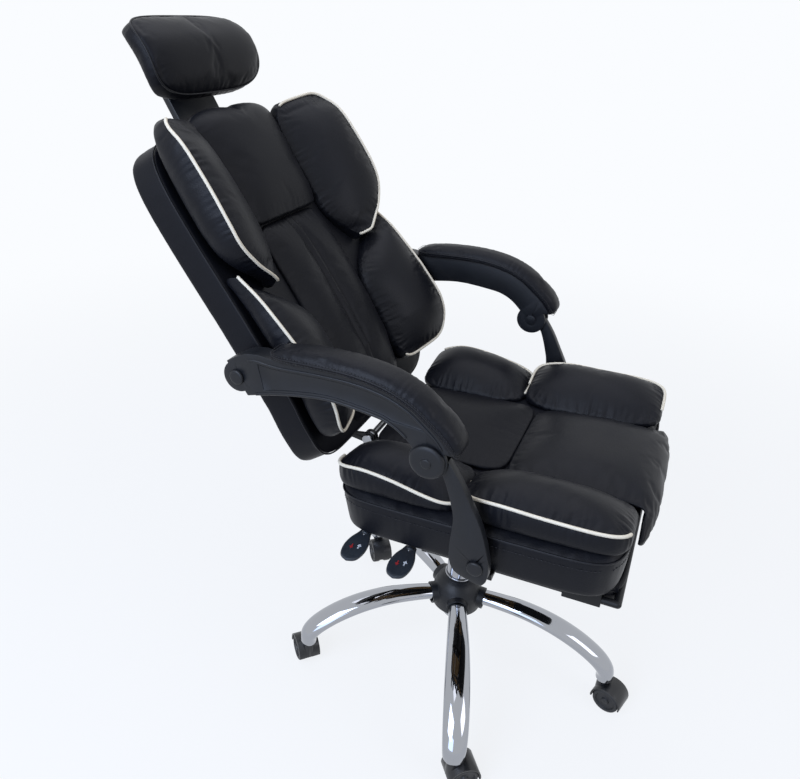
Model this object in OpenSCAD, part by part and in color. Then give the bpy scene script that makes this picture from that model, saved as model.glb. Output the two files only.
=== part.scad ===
// Reclining office chair with a drawn-out footrest, linked arms and a chrome five-star base.
// Millimetres, +Z up, the chair faces -Y. The origin is on the floor under the gas column.

/* [Seat] */
// Width of the boxed seat pad
seat_w = 510; // [460:1:560]
// Depth of the boxed seat pad, front to rear
seat_d = 450; // [420:1:480]
// Height of the seat underside above the floor, at the column
seat_z = 449.5; // [435:0.5:470]
// Rise of the seat towards its front, in degrees
seat_tilt = 4; // [0:0.5:6]
// Height of the boxed pad
seat_pad_h = 82; // [70:1:95]
// Width of the middle cushions
seat_mid_w = 236; // [200:1:260]
// Crown of the side cushions above the boxed pad
seat_wing_h = 48; // [35:1:60]

/* [Back] */
// Height of the padded back
back_h = 565; // [520:1:600]
// Width of the padded back
back_w = 496; // [460:1:500]
// Lean of the back from upright, as stored, in degrees
back_lean = 32; // [25:1:35]
// Thickness of the padded slab
slab_t = 54; // [45:1:60]
// Forward swell of the slab at the small of the back
lumbar = 28; // [15:1:35]
// Depth of the side cushions in front of the slab
back_wing_h = 66; // [50:1:75]

/* [Headrest] */
// Width of the headrest pad
head_w = 300; // [260:1:340]
// Height of the headrest pad
head_h = 132; // [110:1:150]
// Draw of the headrest stalk
head_travel = 60; // [40:1:70]

/* [Arms] */
// From the side of the seat to the middle of an arm
arm_out = 26; // [22:1:45]
// Width of the armrest pad
arm_pad_w = 56; // [50:1:64]
// Radius of the round arm knob
knob_r = 26; // [22:1:30]

/* [Base] */
// Radius from the column to a caster stem
star_r = 305; // [280:1:330]
// Outer diameter of the gas column
column_d = 50; // [48:0.5:52]
// Outer diameter of the sliding gas cylinder
cylinder_d = 28; // [27:0.5:29]
// Diameter of a caster wheel
wheel_d = 50; // [46:1:54]

/* [Footrest] */
// Width of the footrest pad
foot_w = 400; // [340:1:410]
// Length of the footrest pad
foot_l = 200; // [170:1:205]
// Draw of the footrest frame
foot_travel = 210; // [150:5:210]

/* [Hidden] */

// Fits and cuts
eps = 1; // overrun of a cut past a face
fit = 0.05; // radial running clearance of a pin
soft_gap = 0.3; // clearance round a soft piece
plate = 5; // thickness of a steel bracket plate
facets = 48;

// Leather and metal colours
leather = "#232428";
moulded = "#2c2e33";
steel = "#8d9095";
chromed = "#c9ccd1";
ply = "#a98d66";
foot_steel = "#b4b7bb";

// Curves and skins
function mix(a, b, f) = a + (b - a) * f;
function spline_at(p, i, f) = let (a = p[max(i - 1, 0)], b = p[i], c = p[i + 1],
    d = p[min(i + 2, len(p) - 1)])
    0.5 * (2 * b + (c - a) * f + (2 * a - 5 * b + 4 * c - d) * f * f + (3 * b - a - 3 * c + d) * f * f * f);
function spline_on(p, f) = let (q = max(0, min(f, 1)) * (len(p) - 1), i = min(floor(q), len(p) - 2))
    spline_at(p, i, q - i);
function swell(u, power) = 1 - pow(abs(u), power);
function sheet_points(f, nu, nv) = [for (i = [0:nu]) for (j = [0:nv]) f(2 * i / nu - 1, 2 * j / nv - 1)];
function rim(nu, nv) = concat([for (j = [0:nv - 1]) [0, j]], [for (i = [0:nu - 1]) [i, nv]],
    [for (j = [nv:-1:1]) [nu, j]], [for (i = [nu:-1:1]) [i, 0]]);

// Closed soft form: a front sheet, a rear sheet with the same rim and a waist between their rims.
// Each is a function of u (across) and v (along), which run from -1 to 1.
module soft_form(front, rear, waist, nu = 8, nv = 10) {
    n = (nu + 1) * (nv + 1);
    edge = rim(nu, nv);
    m = len(edge);
    waist_points = [for (e = edge) waist(2 * e[0] / nu - 1, 2 * e[1] / nv - 1)];
    cells = [for (i = [0:nu - 1]) for (j = [0:nv - 1]) [i * (nv + 1) + j, (i + 1) * (nv + 1) + j,
        (i + 1) * (nv + 1) + j + 1, i * (nv + 1) + j + 1]];
    faces = concat(
        [for (c = cells) each [[c[0], c[2], c[1]], [c[0], c[3], c[2]]]],
        [for (c = cells) each [[n + c[0], n + c[1], n + c[2]], [n + c[0], n + c[2], n + c[3]]]],
        [for (k = [0:m - 1]) let (a = edge[k], b = edge[(k + 1) % m], l = (k + 1) % m,
            fa = a[0] * (nv + 1) + a[1], fb = b[0] * (nv + 1) + b[1])
            each [[fa, 2 * n + k, fb], [fb, 2 * n + k, 2 * n + l],
                [2 * n + k, n + fa, 2 * n + l], [2 * n + l, n + fa, n + fb]]]);
    points = concat(sheet_points(front, nu, nv), sheet_points(rear, nu, nv), waist_points);
    polyhedron(points, faces, convexity = 8);
}

// Frames of the seat and the back
module at_seat() {
    translate([0, 0, seat_z]) rotate([-seat_tilt, 0, 0]) children();
}
back_foot_y = 198;
back_foot_rise = 68.5;
back_foot_z = seat_z + back_foot_rise;
module at_back() {
    translate([0, back_foot_y, back_foot_z]) rotate([-back_lean, 0, 0]) children();
}
// A side piece drawn for the sitter's left, +X, and its twin
module both_sides() {
    children();
    mirror([1, 0, 0]) children();
}
// Solid with its outline in the Y-Z plane, from x0 to x1
module side_cut(x0, x1) {
    translate([x0, 0, 0]) rotate([90, 0, 90]) linear_extrude(x1 - x0) children();
}
// Rod along X
module cross_rod(x0, x1, y, z, r) {
    translate([x0, y, z]) rotate([0, 90, 0]) cylinder(h = x1 - x0, r = r, $fn = facets);
}

// Star base
leg_root_z = 152;
leg_drop = 88; // fall of a leg from its root to its end
leg_end_z = leg_root_z - leg_drop;
hub_r = 31;
hub_wall = 5.95;
hub_below = 40;
hub_above = 32;
hub_z0 = leg_root_z - hub_below;
hub_z1 = leg_root_z + hub_above;
leg_root_w = 30;
leg_mid_w = 46;
leg_end_w = 38;
leg_root_h = 26;
leg_end_h = 32;
leg_azimuth = 199.7;
socket_r = 10;
socket_l = 17;
stem_r = 5.5;
stem_l = 16;
leg_bite = 3.5; // by which a leg's root is sunk into the hub
leg_shares = [[0, 0], [0.187, 0.06], [0.407, 0.06], [0.604, -0.05], [0.78, -0.26], [0.918, -0.53],
    [0.989, -0.78], [1, -1]];
function leg_centre(f) = let (p = spline_on(leg_shares, f))
    [mix(hub_r - leg_bite, star_r, p[0]), leg_root_z + p[1] * leg_drop];
function leg_tilt(f) = f > 0.995 ? -90 : f < 0.01 ? 0
    : let (d = leg_centre(f + 0.004) - leg_centre(f - 0.004)) atan2(d[1], d[0]);
function leg_w(f) = f < 0.55 ? mix(leg_root_w, leg_mid_w, sin(90 * f / 0.55))
    : mix(leg_end_w, leg_mid_w, cos(90 * (f - 0.55) / 0.45));
function leg_h(f) = mix(leg_root_h, leg_end_h, f);
leg_rings = 14;
leg_sides = 14;
module star_leg() {
    points = [for (i = [0:leg_rings]) let (f = i / leg_rings, c = leg_centre(f), t = leg_tilt(f))
        for (k = [0:leg_sides - 1]) let (a = 360 * k / leg_sides, side = cos(a) * leg_w(f) / 2,
            up = sin(a) * leg_h(f) / 2)
        [c[0] - up * sin(t), side, c[1] + up * cos(t)]];
    faces = concat([[for (k = [0:leg_sides - 1]) k]],
        [[for (k = [leg_sides - 1:-1:0]) leg_rings * leg_sides + k]],
        [for (i = [0:leg_rings - 1]) for (k = [0:leg_sides - 1])
            let (a = i * leg_sides + k, b = i * leg_sides + (k + 1) % leg_sides)
            each [[a, a + leg_sides, b], [b, a + leg_sides, b + leg_sides]]]);
    polyhedron(points, faces, convexity = 4);
}
module each_leg() {
    for (k = [0:4]) rotate([0, 0, leg_azimuth + 72 * k]) children();
}
module star_legs() {
    color(chromed) each_leg() difference() {
        star_leg();
        translate([star_r, 0, leg_end_z - eps]) cylinder(h = socket_l + eps, r = socket_r, $fn = facets);
    }
}
module hub_tube() {
    color(chromed) difference() {
        translate([0, 0, hub_z0]) cylinder(h = hub_z1 - hub_z0, r = hub_r, $fn = facets);
        translate([0, 0, hub_z0 - eps])
            cylinder(h = hub_z1 - hub_z0 + 2 * eps, r = column_d / 2, $fn = facets);
    }
}
// Moulded dome over the hub, with a collar round each leg root
cover_r = 49;
cover_wall = 3;
cover_rise = 18;
cover_skirt = 24;
cover_top = hub_z1 + cover_rise;
cover_foot = leg_root_z - cover_skirt;
collar_r = 18;
collar_l = 7;
module cover_profile(r, top) {
    polygon(concat([[0, cover_foot]], [[r, cover_foot]],
        [for (a = [0:15:75]) [r * cos(a) , cover_foot + (top - cover_foot) * (0.35 + 0.65 * sin(a))]],
        [[0, cover_foot + (top - cover_foot) * (0.35 + 0.65 * sin(75))]]));
}
module hub_cover() {
    color(moulded) difference() {
        union() {
            rotate_extrude($fn = facets) cover_profile(cover_r, cover_top);
            each_leg() translate([0, 0, leg_root_z]) rotate([0, 90, 0])
                cylinder(h = cover_r + collar_l, r = collar_r + cover_wall, $fn = facets);
        }
        translate([0, 0, -cover_wall]) rotate_extrude($fn = facets)
            cover_profile(cover_r - cover_wall, cover_top);
        translate([0, 0, hub_z0 - eps])
            cylinder(h = hub_z1 - hub_z0 + eps + fit, r = hub_r + fit, $fn = facets);
        each_leg() translate([0, 0, leg_root_z]) rotate([0, 90, 0])
            cylinder(h = cover_r + collar_l + eps, r = collar_r, $fn = facets);
        cylinder(h = 2 * cover_top, r = column_d / 2 + fit, $fn = facets);
        translate([0, 0, hub_z0 - eps])
            cylinder(h = cover_foot - hub_z0 + eps, r = 2 * cover_r, $fn = facets);
    }
}
module caster_sockets() {
    color(moulded) each_leg() translate([star_r, 0, leg_end_z]) difference() {
        cylinder(h = socket_l, r = socket_r, $fn = facets);
        translate([0, 0, -eps]) cylinder(h = stem_l + 2 * eps, r = stem_r + fit, $fn = facets);
    }
}

// Casters
caster_trail = 18;
wheel_w = 16;
web_t = 7;
hood_gap = 1.2;
hood_wall = 2.6;
axle_r = 4;
wheel_z = wheel_d / 2;
hood_r = wheel_d / 2 + hood_gap + hood_wall;
wheel_gap = 1;
wheel_x0 = web_t / 2 + wheel_gap;
hood_w = 2 * (wheel_x0 + wheel_w + hood_gap);
caster_yaw = [20, 252, 140, 75, 190];
stem_collar = 2; // height of the collar between hood and leg end
module at_caster(i) {
    rotate([0, 0, leg_azimuth + 72 * (i - 1)]) translate([star_r, 0, 0]) rotate([0, 0, caster_yaw[i - 1]])
        children();
}
module caster_hood(i) {
    color(moulded) at_caster(i) {
        difference() {
            union() {
                cross_rod(-hood_w / 2, hood_w / 2, caster_trail, wheel_z, hood_r);
                translate([0, 0, wheel_z])
                    cylinder(h = leg_end_z - stem_collar - wheel_z, r = 2 * stem_r, $fn = facets);
            }
            both_sides() cross_rod(web_t / 2, hood_w, caster_trail, wheel_z, wheel_d / 2 + hood_gap);
            difference() {
                translate([-hood_w, -2 * hood_r, -2 * hood_r])
                    cube([2 * hood_w, 4 * hood_r + caster_trail, 2 * hood_r + wheel_z - axle_r]);
                cross_rod(-web_t / 2, web_t / 2, caster_trail, wheel_z, wheel_d / 2 - 3 * axle_r);
            }
            cross_rod(-hood_w, hood_w, caster_trail, wheel_z, axle_r + fit);
        }
        translate([0, 0, leg_end_z - stem_collar])
            cylinder(h = stem_collar / 2, r = 1.6 * stem_r, $fn = facets);
        translate([0, 0, leg_end_z - stem_collar / 2])
            cylinder(h = stem_l + stem_collar / 2, r = stem_r, $fn = facets);
    }
}
tread_round = 3;
module wheel_profile() {
    polygon([[axle_r - fit, 0], [wheel_z * 0.4, 0], [wheel_z - tread_round, 0],
        [wheel_z - tread_round * 0.3, tread_round * 0.3],
        [wheel_z, tread_round], [wheel_z, wheel_w - tread_round],
        [wheel_z - tread_round * 0.3, wheel_w - tread_round * 0.3], [wheel_z - tread_round, wheel_w],
        [wheel_z * 0.75, wheel_w], [wheel_z * 0.68, wheel_w - tread_round],
        [wheel_z * 0.3, wheel_w - tread_round],
        [wheel_z * 0.24, wheel_w], [axle_r - fit, wheel_w]]);
}
module caster_wheels(i) {
    color(moulded) at_caster(i) {
        both_sides() translate([wheel_x0, caster_trail, wheel_z]) rotate([0, 90, 0])
            rotate_extrude($fn = facets) wheel_profile();
        cross_rod(-wheel_x0 - wheel_w, wheel_x0 + wheel_w, caster_trail, wheel_z, axle_r - fit);
    }
}
module caster_hood_1() { caster_hood(1); }
module caster_hood_2() { caster_hood(2); }
module caster_hood_3() { caster_hood(3); }
module caster_hood_4() { caster_hood(4); }
module caster_hood_5() { caster_hood(5); }
module caster_wheels_1() { caster_wheels(1); }
module caster_wheels_2() { caster_wheels(2); }
module caster_wheels_3() { caster_wheels(3); }
module caster_wheels_4() { caster_wheels(4); }
module caster_wheels_5() { caster_wheels(5); }

// Gas lift
column_wall = 2;
column_drop = 16; // by which the column stands below the hub
column_z0 = hub_z0 - column_drop;
column_l = 235;
column_z1 = column_z0 + column_l;
column_floor = 3; // thickness of the plate that closes the column
rod_r = 5;
bearing_h = 7;
bush_l = 70;
cylinder_wall = 2;
cylinder_lift = 79; // of the cylinder's foot above the column's
cylinder_z0 = column_z0 + cylinder_lift;
cylinder_cap = 20;
cylinder_below = 12; // from the seat's underside to the cylinder's top
cylinder_z1 = seat_z - cylinder_below;
piston_h = 9;
clip_t = 1.5;
valve_r = 4;
valve_l = 7;
module tube(z0, z1, r, wall) {
    translate([0, 0, z0]) difference() {
        cylinder(h = z1 - z0, r = r, $fn = facets);
        translate([0, 0, -eps]) cylinder(h = z1 - z0 + 2 * eps, r = r - wall, $fn = facets);
    }
}
module column_tube() {
    color(chromed) union() {
        tube(column_z0 + column_floor, column_z1, column_d / 2, column_wall);
        tube(column_z0, column_z0 + column_floor, column_d / 2, column_d / 2 - rod_r - fit);
    }
}
module column_bush() {
    color("#e6e3da") tube(column_z1 - bush_l, column_z1, column_d / 2 - column_wall,
        column_d / 2 - column_wall - cylinder_d / 2 - fit);
}
module thrust_bearing() {
    z = column_z0 + column_floor;
    color(steel) {
        tube(z, z + bearing_h / 3, 2.6 * rod_r, 1.6 * rod_r - fit);
        tube(z + 2 * bearing_h / 3, z + bearing_h, 2.6 * rod_r, 1.6 * rod_r - fit);
        for (a = [0:45:315]) rotate([0, 0, a]) translate([1.8 * rod_r, 0, z + bearing_h / 2])
            sphere(r = bearing_h / 6, $fn = facets);
        tube(column_z0 - clip_t, column_z0, 1.8 * rod_r, 0.8 * rod_r - fit);
    }
}
piston_stand = 66; // of the piston above the cylinder's lower cap
piston_z = cylinder_z0 + cylinder_cap + piston_stand;
module piston_rod() {
    color(steel) {
        translate([0, 0, column_z0 - 2 * clip_t])
            cylinder(h = piston_z - column_z0 + 2 * clip_t, r = rod_r, $fn = facets);
        translate([0, 0, piston_z])
            cylinder(h = piston_h, r = cylinder_d / 2 - cylinder_wall - fit, $fn = facets);
    }
}
module gas_cylinder() {
    color("#3a3c40") difference() {
        translate([0, 0, cylinder_z0])
            cylinder(h = cylinder_z1 - cylinder_z0, r = cylinder_d / 2, $fn = facets);
        translate([0, 0, cylinder_z0 + cylinder_cap])
            cylinder(h = cylinder_z1 - cylinder_z0 - 2 * cylinder_cap, r = cylinder_d / 2 - cylinder_wall,
                $fn = facets);
        translate([0, 0, cylinder_z0 - eps])
            cylinder(h = cylinder_cap + 2 * eps, r = rod_r + fit, $fn = facets);
        translate([0, 0, cylinder_z1 - 2 * valve_l])
            cylinder(h = 2 * valve_l + eps, r = valve_r + fit, $fn = facets);
    }
}
valve_travel = 3;
module valve_button() {
    color("#b5322b") translate([0, 0, cylinder_z1 - valve_l - valve_travel])
        cylinder(h = valve_l + 2 * valve_travel, r = valve_r, $fn = facets);
}

// Mechanism under the seat
tray_w = 124;
tray_wall = 3;
tray_h = 55;
tray_y0 = -72;
tray_y1 = 132;
flange_w = 190;
boss_r = 20;
lever_rod_r = 4;
lever_below = 25.5;
lever_z = seat_z - lever_below;
lever_pivot_x = 74; // from the middle plane to a lever's pivot
lever_tip = 300; // from the middle plane to a paddle's end
paddle_l = 78;
paddle_w = 38;
paddle_t = 7;
lift_y = 28;
recline_y = 108;
ear_t = 3;
ear_gap = 8.5;
window_h = 16;
pivot_r = 3;
hinge_y = 180;
hinge_above = 50.5;
hinge_z = seat_z + hinge_above;
hinge_r = 6;
hinge_ear_r = 12.5;
seat_ear_x = 62;
back_ear_x = 70;
disc_t = back_ear_x - seat_ear_x - plate;
hinge_pin_x = back_ear_x + plate + hinge_r;
module lever_ears(y) {
    for (side = [-1, 1])
        translate([-lever_pivot_x - 2 * pivot_r, y + side * (ear_gap + ear_t / 2) - ear_t / 2, 0])
        difference() {
            translate([0, 0, lever_z - 3 * pivot_r])
                cube([lever_pivot_x + 2 * pivot_r - (tray_w - tray_wall) / 2, ear_t,
                    seat_z - y * sin(seat_tilt) - tray_wall - lever_z + 3 * pivot_r]);
            translate([2 * pivot_r, -eps, lever_z]) rotate([-90, 0, 0])
                cylinder(h = ear_t + 2 * eps, r = pivot_r + fit, $fn = facets);
        }
}
module mechanism_tray() {
    color(steel) {
        difference() {
            at_seat() union() {
                difference() {
                    translate([-tray_w / 2, tray_y0, -tray_h]) cube([tray_w, tray_y1 - tray_y0, tray_h]);
                    translate([-tray_w / 2 + tray_wall, tray_y0 + tray_wall, -tray_h + tray_wall])
                        cube([tray_w - 2 * tray_wall, tray_y1 - tray_y0 - 2 * tray_wall, tray_h]);
                }
                difference() {
                    translate([-flange_w / 2, tray_y0, -tray_wall])
                        cube([flange_w, tray_y1 - tray_y0, tray_wall]);
                    translate([-tray_w / 2 + tray_wall, tray_y0 + tray_wall, -2 * tray_wall])
                        cube([tray_w - 2 * tray_wall, tray_y1 - tray_y0 - 2 * tray_wall, 3 * tray_wall]);
                    tray_bolt_places()
                        cylinder(h = 4 * tray_wall, r = bolt_r + fit, center = true, $fn = facets);
                }
            }
            for (y = [lift_y, recline_y]) translate([-tray_w, y - 2 * lever_rod_r, lever_z - window_h / 2])
                cube([tray_w, 4 * lever_rod_r, window_h]);
            cylinder(h = seat_z + tray_h, r = cylinder_d / 2 + fit, $fn = facets);
        }
        difference() {
            translate([0, 0, seat_z - tray_h + tray_wall])
                cylinder(h = cylinder_z1 - valve_r - seat_z + tray_h - tray_wall, r = boss_r, $fn = facets);
            cylinder(h = seat_z + tray_h, r = cylinder_d / 2 + fit, $fn = facets);
        }
        both_sides() side_cut(seat_ear_x - tray_wall, seat_ear_x + plate) difference() {
            union() {
                translate([hinge_y, hinge_z]) circle(r = hinge_ear_r, $fn = facets);
                polygon([[hinge_y - hinge_ear_r, hinge_z], [hinge_y + hinge_ear_r, hinge_z],
                    [hinge_y + hinge_ear_r, hinge_z - 1.5 * tray_h],
                    [hinge_y - hinge_ear_r, hinge_z - 1.9 * tray_h],
                    [tray_y1 - hinge_ear_r, hinge_z - 1.9 * tray_h],
                    [tray_y1 - hinge_ear_r, hinge_z - 1.28 * tray_h],
                    [hinge_y - hinge_ear_r, hinge_z - 1.35 * tray_h]]);
            }
            translate([hinge_y, hinge_z]) circle(r = hinge_r, $fn = facets);
        }
        lever_ears(lift_y);
        lever_ears(recline_y);
    }
}
module paddle_lever(y, reach) {
    rotate([0, -90, 0]) translate([lever_z, y, -reach])
        cylinder(h = reach + lever_tip - paddle_l + 2 * lever_rod_r, r = lever_rod_r, $fn = facets);
    translate([-lever_pivot_x, y - ear_gap - ear_t, lever_z]) rotate([-90, 0, 0])
        cylinder(h = 2 * (ear_gap + ear_t), r = pivot_r, $fn = facets);
}
module paddle(y) {
    translate([-lever_tip, y, lever_z - paddle_t / 2]) linear_extrude(paddle_t) union() {
        translate([paddle_w * 0.46, 0]) circle(r = paddle_w * 0.46, $fn = facets);
        polygon([[paddle_w * 0.42, paddle_w * 0.46], [paddle_l * 0.72, paddle_w * 0.5],
            [paddle_l, paddle_w * 0.26], [paddle_l, -paddle_w * 0.26],
            [paddle_l * 0.72, -paddle_w * 0.5], [paddle_w * 0.42, -paddle_w * 0.46]]);
    }
    translate([-lever_tip + paddle_l - lever_rod_r, y, lever_z]) rotate([0, 90, 0])
        cylinder(h = 3.5 * lever_rod_r, r = 1.7 * lever_rod_r, $fn = facets);
}
finger_gap = 0.5;
finger_t = 3.5;
finger_w = 12;
module lift_lever() {
    color(moulded) paddle(lift_y);
    color(steel) {
        paddle_lever(lift_y, finger_w / 2);
        translate([-finger_w / 2, lift_y - lever_rod_r, lever_z])
            cube([finger_w, 2 * lever_rod_r, cylinder_z1 + valve_travel + finger_gap - lever_z + finger_t]);
        translate([-finger_w / 2, -finger_w / 2, cylinder_z1 + valve_travel + finger_gap])
            cube([finger_w, lift_y + finger_w / 2, finger_t]);
    }
}
module recline_lever() {
    color(moulded) paddle(recline_y);
    color(steel) paddle_lever(recline_y, -lever_pivot_x / 3);
}
module hinge_pin() {
    color(steel) {
        cross_rod(-hinge_pin_x, hinge_pin_x, hinge_y, hinge_z, hinge_r - fit);
        both_sides() cross_rod(back_ear_x + plate + 2 * fit, hinge_pin_x, hinge_y, hinge_z, 1.6 * hinge_r);
        both_sides() difference() {
            cross_rod(seat_ear_x + plate, back_ear_x - 2 * fit, hinge_y, hinge_z, hinge_ear_r - 2 * fit);
            cross_rod(seat_ear_x, back_ear_x, hinge_y, hinge_z, hinge_r - fit);
        }
    }
}

// Seat board and cushions, in the frame of the seat
board_t = 12;
board_inset = 14;
seat_y1 = 160;
seat_y0 = seat_y1 - seat_d;
seat_yc = (seat_y0 + seat_y1) / 2;
corner_draw = 0.16;
function drawn(u, v) = u * sqrt(1 - corner_draw * v * v);
bolt_r = 4;
bolt_head_r = 7;
module tray_bolt_places() {
    for (x = [-1, 1]) for (y = [tray_y0 + 3 * bolt_r, tray_y1 - 3 * bolt_r])
        translate([x * (flange_w / 2 - 2 * bolt_r), y, 0]) children();
}
module bar_bolt_places() {
    for (x = [-1, 1]) for (side = [-1, 1])
        translate([x * (strut_bar_x0 + 3 * bolt_r), strut_bar_y + side * strut_bar_w / 4, 0]) children();
}
// Bolt up into the board through a plate of the given thickness
module board_bolt(under) {
    translate([0, 0, -under]) cylinder(h = under + board_t - eps, r = bolt_r, $fn = facets);
    translate([0, 0, -under - bolt_r]) cylinder(h = bolt_r, r = bolt_head_r, $fn = facets);
}
module board_outline(out) {
    polygon([for (a = [0:10:350])
        let (c = cos(a), s = sin(a), q = pow(pow(abs(c), 8) + pow(abs(s), 8), -1 / 8))
        [(seat_w / 2 - board_inset + out) * c * q, seat_yc + (seat_d / 2 - board_inset + out) * s * q]]);
}
module seat_board() {
    color(ply) at_seat() difference() {
        linear_extrude(board_t) board_outline(0);
        tray_bolt_places() cylinder(h = 3 * board_t, r = bolt_r + fit, center = true, $fn = facets);
        bar_bolt_places() cylinder(h = 3 * board_t, r = bolt_r + fit, center = true, $fn = facets);
    }
}
module seat_bolts() {
    color(steel) at_seat() {
        tray_bolt_places() board_bolt(tray_wall);
        bar_bolt_places() board_bolt(plate);
    }
}
module seat_base_pad() {
    edge_drop = 8;
    bulge = 5;
    plan = function(u, v, out) [(seat_w / 2 - bulge + out) * drawn(u, v),
        seat_yc + (seat_d / 2 - bulge + out) * drawn(v, u)];
    front = function(u, v) let (p = plan(u, v, 0))
        [p[0], p[1], seat_pad_h - edge_drop * pow(max(abs(u), abs(v)), 8)];
    rear = function(u, v) let (p = plan(u, v, -2)) [p[0], p[1], 0];
    waist = function(u, v) let (p = plan(u, v, bulge)) [p[0], p[1], seat_pad_h * 0.42];
    color(leather) at_seat() difference() {
        soft_form(front, rear, waist, 10, 10);
        translate([0, 0, -eps]) linear_extrude(board_t + soft_gap + eps) board_outline(soft_gap);
    }
}
seat_split_y = -84; // seam between the flat rear cushion and the puffed front one
mid_gap = 2;
module seat_rear_panel() {
    rear_margin = 12;
    edge_h = 5;
    crown = 8;
    y1 = seat_y1 - rear_margin;
    y0 = seat_split_y + mid_gap / 2;
    hw = seat_mid_w / 2 - mid_gap / 2;
    front = function(u, v) [hw * drawn(u, v * 0.6), mix(y1, y0, (v + 1) / 2),
        seat_pad_h + edge_h + crown * swell(u, 4) * swell(v, 4)];
    rear = function(u, v) let (p = front(u, v)) [p[0], p[1], seat_pad_h + soft_gap];
    waist = function(u, v) let (p = front(u, v)) [p[0] * 1.004, p[1], seat_pad_h + edge_h / 2];
    color(leather) at_seat() soft_form(front, rear, waist);
}
// Side path of the front cushion over the seat's edge: along from the edge, and up, in shares
fall_shares = [[0.9, 0.08], [0.72, 0.42], [0.45, 0.58], [0.2, 0.52], [-0.01, 0.28], [-0.11, -0.06],
    [-0.14, -0.32], [-0.1, -0.56]];
fall_inner_shares = [[0.9, 0], [0.7, 0], [0.45, 0], [0.2, 0], [-0.012, 0], [-0.02, -0.15], [-0.022, -0.35],
    [-0.022, -0.54]];
front_reach = seat_split_y - mid_gap / 2 - seat_y0;
front_rise = 56;
module seat_front_panel() {
    f = function(v) (v + 1) / 2;
    hw = function(v) mix(seat_mid_w / 2 - mid_gap / 2, seat_w * 0.31, max(0, min(1, (f(v) - 0.55) / 0.3)));
    side_bulge = 2;
    place = function(p) [seat_y0 + p[0] * front_reach / 0.9,
        seat_pad_h + soft_gap + p[1] * (p[1] > 0 ? front_rise : seat_pad_h)];
    front = function(u, v) let (p = spline_on(fall_shares, f(v)), q = spline_on(fall_inner_shares, f(v)),
        w = 0.3 + 0.7 * swell(u, 4), r = place(mix(q, p, w))) [hw(v) * u, r[0], r[1]];
    rear = function(u, v) let (q = spline_on(fall_inner_shares, f(v)), r = place([q[0], min(q[1], 0)]))
        [hw(v) * u, r[0], r[1]];
    waist = function(u, v) (front(u, v) + rear(u, v)) / 2 + [side_bulge * u, 0, 0];
    color(leather) at_seat() soft_form(front, rear, waist, 8, 14);
}
// Side cushion of the seat: inner and outer edges, ends, heights of its outer edge at both ends
wing_lip = 6; // thickness of a side cushion at its inner edge
wing_seam_rise = 14; // part of a side cushion's height that lies below its crown
module seat_wing(x0, x1, y0, y1, rise0, rise1, round) {
    side_draw = 1.5;
    x = function(u, v) mix(x0 + wing_lip * pow(abs(v), 4), x1 - round * pow(abs(v), 4), (u + 1) / 2);
    y = function(u, v) mix(y0, y1, (v * sqrt(1 - 0.12 * u * u) + 1) / 2);
    rise = function(u, v) mix(wing_lip, mix(rise0, rise1, (v + 1) / 2) * (1 - 0.55 * pow(abs(v), 4)),
        (u + 1) / 2);
    front = function(u, v) [x(u, v), y(u, v), seat_pad_h + rise(u, v)
        + (seat_wing_h - wing_seam_rise) * swell(u, 2.4) * swell(v, 3.4)];
    rear = function(u, v) [x(u, v), y(u, v), seat_pad_h + soft_gap];
    waist = function(u, v) (front(u, v) + rear(u, v)) / 2 - [side_draw * u, 0, 0];
    soft_form(front, rear, waist);
}
wing_margin = 4;
wing_in = seat_mid_w / 2 + mid_gap;
wing_out = seat_w / 2 - wing_margin;
seam_low = 14; // heights of the side cushions' outer seams above the pad
seam_front = 22;
seam_high = 34;
wing_round = 34;
wing_split_y = -50; // gap between the front and the rear side cushions
module seat_rear_wings() {
    color(leather) at_seat() both_sides() seat_wing(wing_in, wing_out, wing_split_y + mid_gap,
        seat_y1 - wing_lip, seam_low, seam_high, wing_round);
}
module seat_front_wings() {
    color(leather) at_seat() both_sides() seat_wing(wing_in, wing_out - wing_margin, seat_y0 + wing_margin,
        wing_split_y - mid_gap, seam_front, seam_high, wing_round + wing_lip);
}

// Footrest, in the frame of the seat
foot_rod_r = 6;
foot_rod_gap = 1.2; // from the cushion to a rail
rail_wall = 2.2;
foot_rod_x = foot_w / 2 + foot_rod_gap + foot_rod_r + rail_wall;
foot_rod_z = -27;
foot_y = seat_y0 + foot_rod_r; // axis of the footrest's crossbar
foot_board_t = 10;
foot_nose = 23; // from the crossbar's axis to the underside of the cushion
foot_board_z = -12; // upper face of the footrest's board
rail_l = 55;
rail_back = 22;
rail_y0 = foot_y + rail_back;
foot_rod_l = rail_y0 - foot_y + rail_l + foot_travel + 2 * foot_rod_r;
module footrest_rails() {
    color(moulded) at_seat() both_sides() difference() {
        translate([foot_rod_x - foot_rod_r - rail_wall, rail_y0, foot_rod_z - foot_rod_r - rail_wall])
            cube([2 * (foot_rod_r + rail_wall), rail_l, foot_rod_r + rail_wall - foot_rod_z]);
        translate([foot_rod_x, rail_y0 - eps, foot_rod_z]) rotate([-90, 0, 0])
            cylinder(h = rail_l + 2 * eps, r = foot_rod_r + fit, $fn = facets);
    }
}
module footrest_frame() {
    color(foot_steel) at_seat() {
        both_sides() translate([foot_rod_x, foot_y, foot_rod_z]) rotate([-90, 0, 0])
            cylinder(h = foot_rod_l, r = foot_rod_r, $fn = facets);
        both_sides() translate([foot_rod_x, foot_y, foot_rod_z]) sphere(r = foot_rod_r, $fn = facets);
        both_sides() translate([foot_rod_x, foot_y + foot_rod_l, foot_rod_z]) rotate([90, 0, 0])
            cylinder(h = foot_rod_r, r = 1.15 * foot_rod_r, $fn = facets);
        cross_rod(-foot_rod_x, foot_rod_x, foot_y, foot_rod_z, foot_rod_r);
    }
}
foot_board_in = 8;
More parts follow.
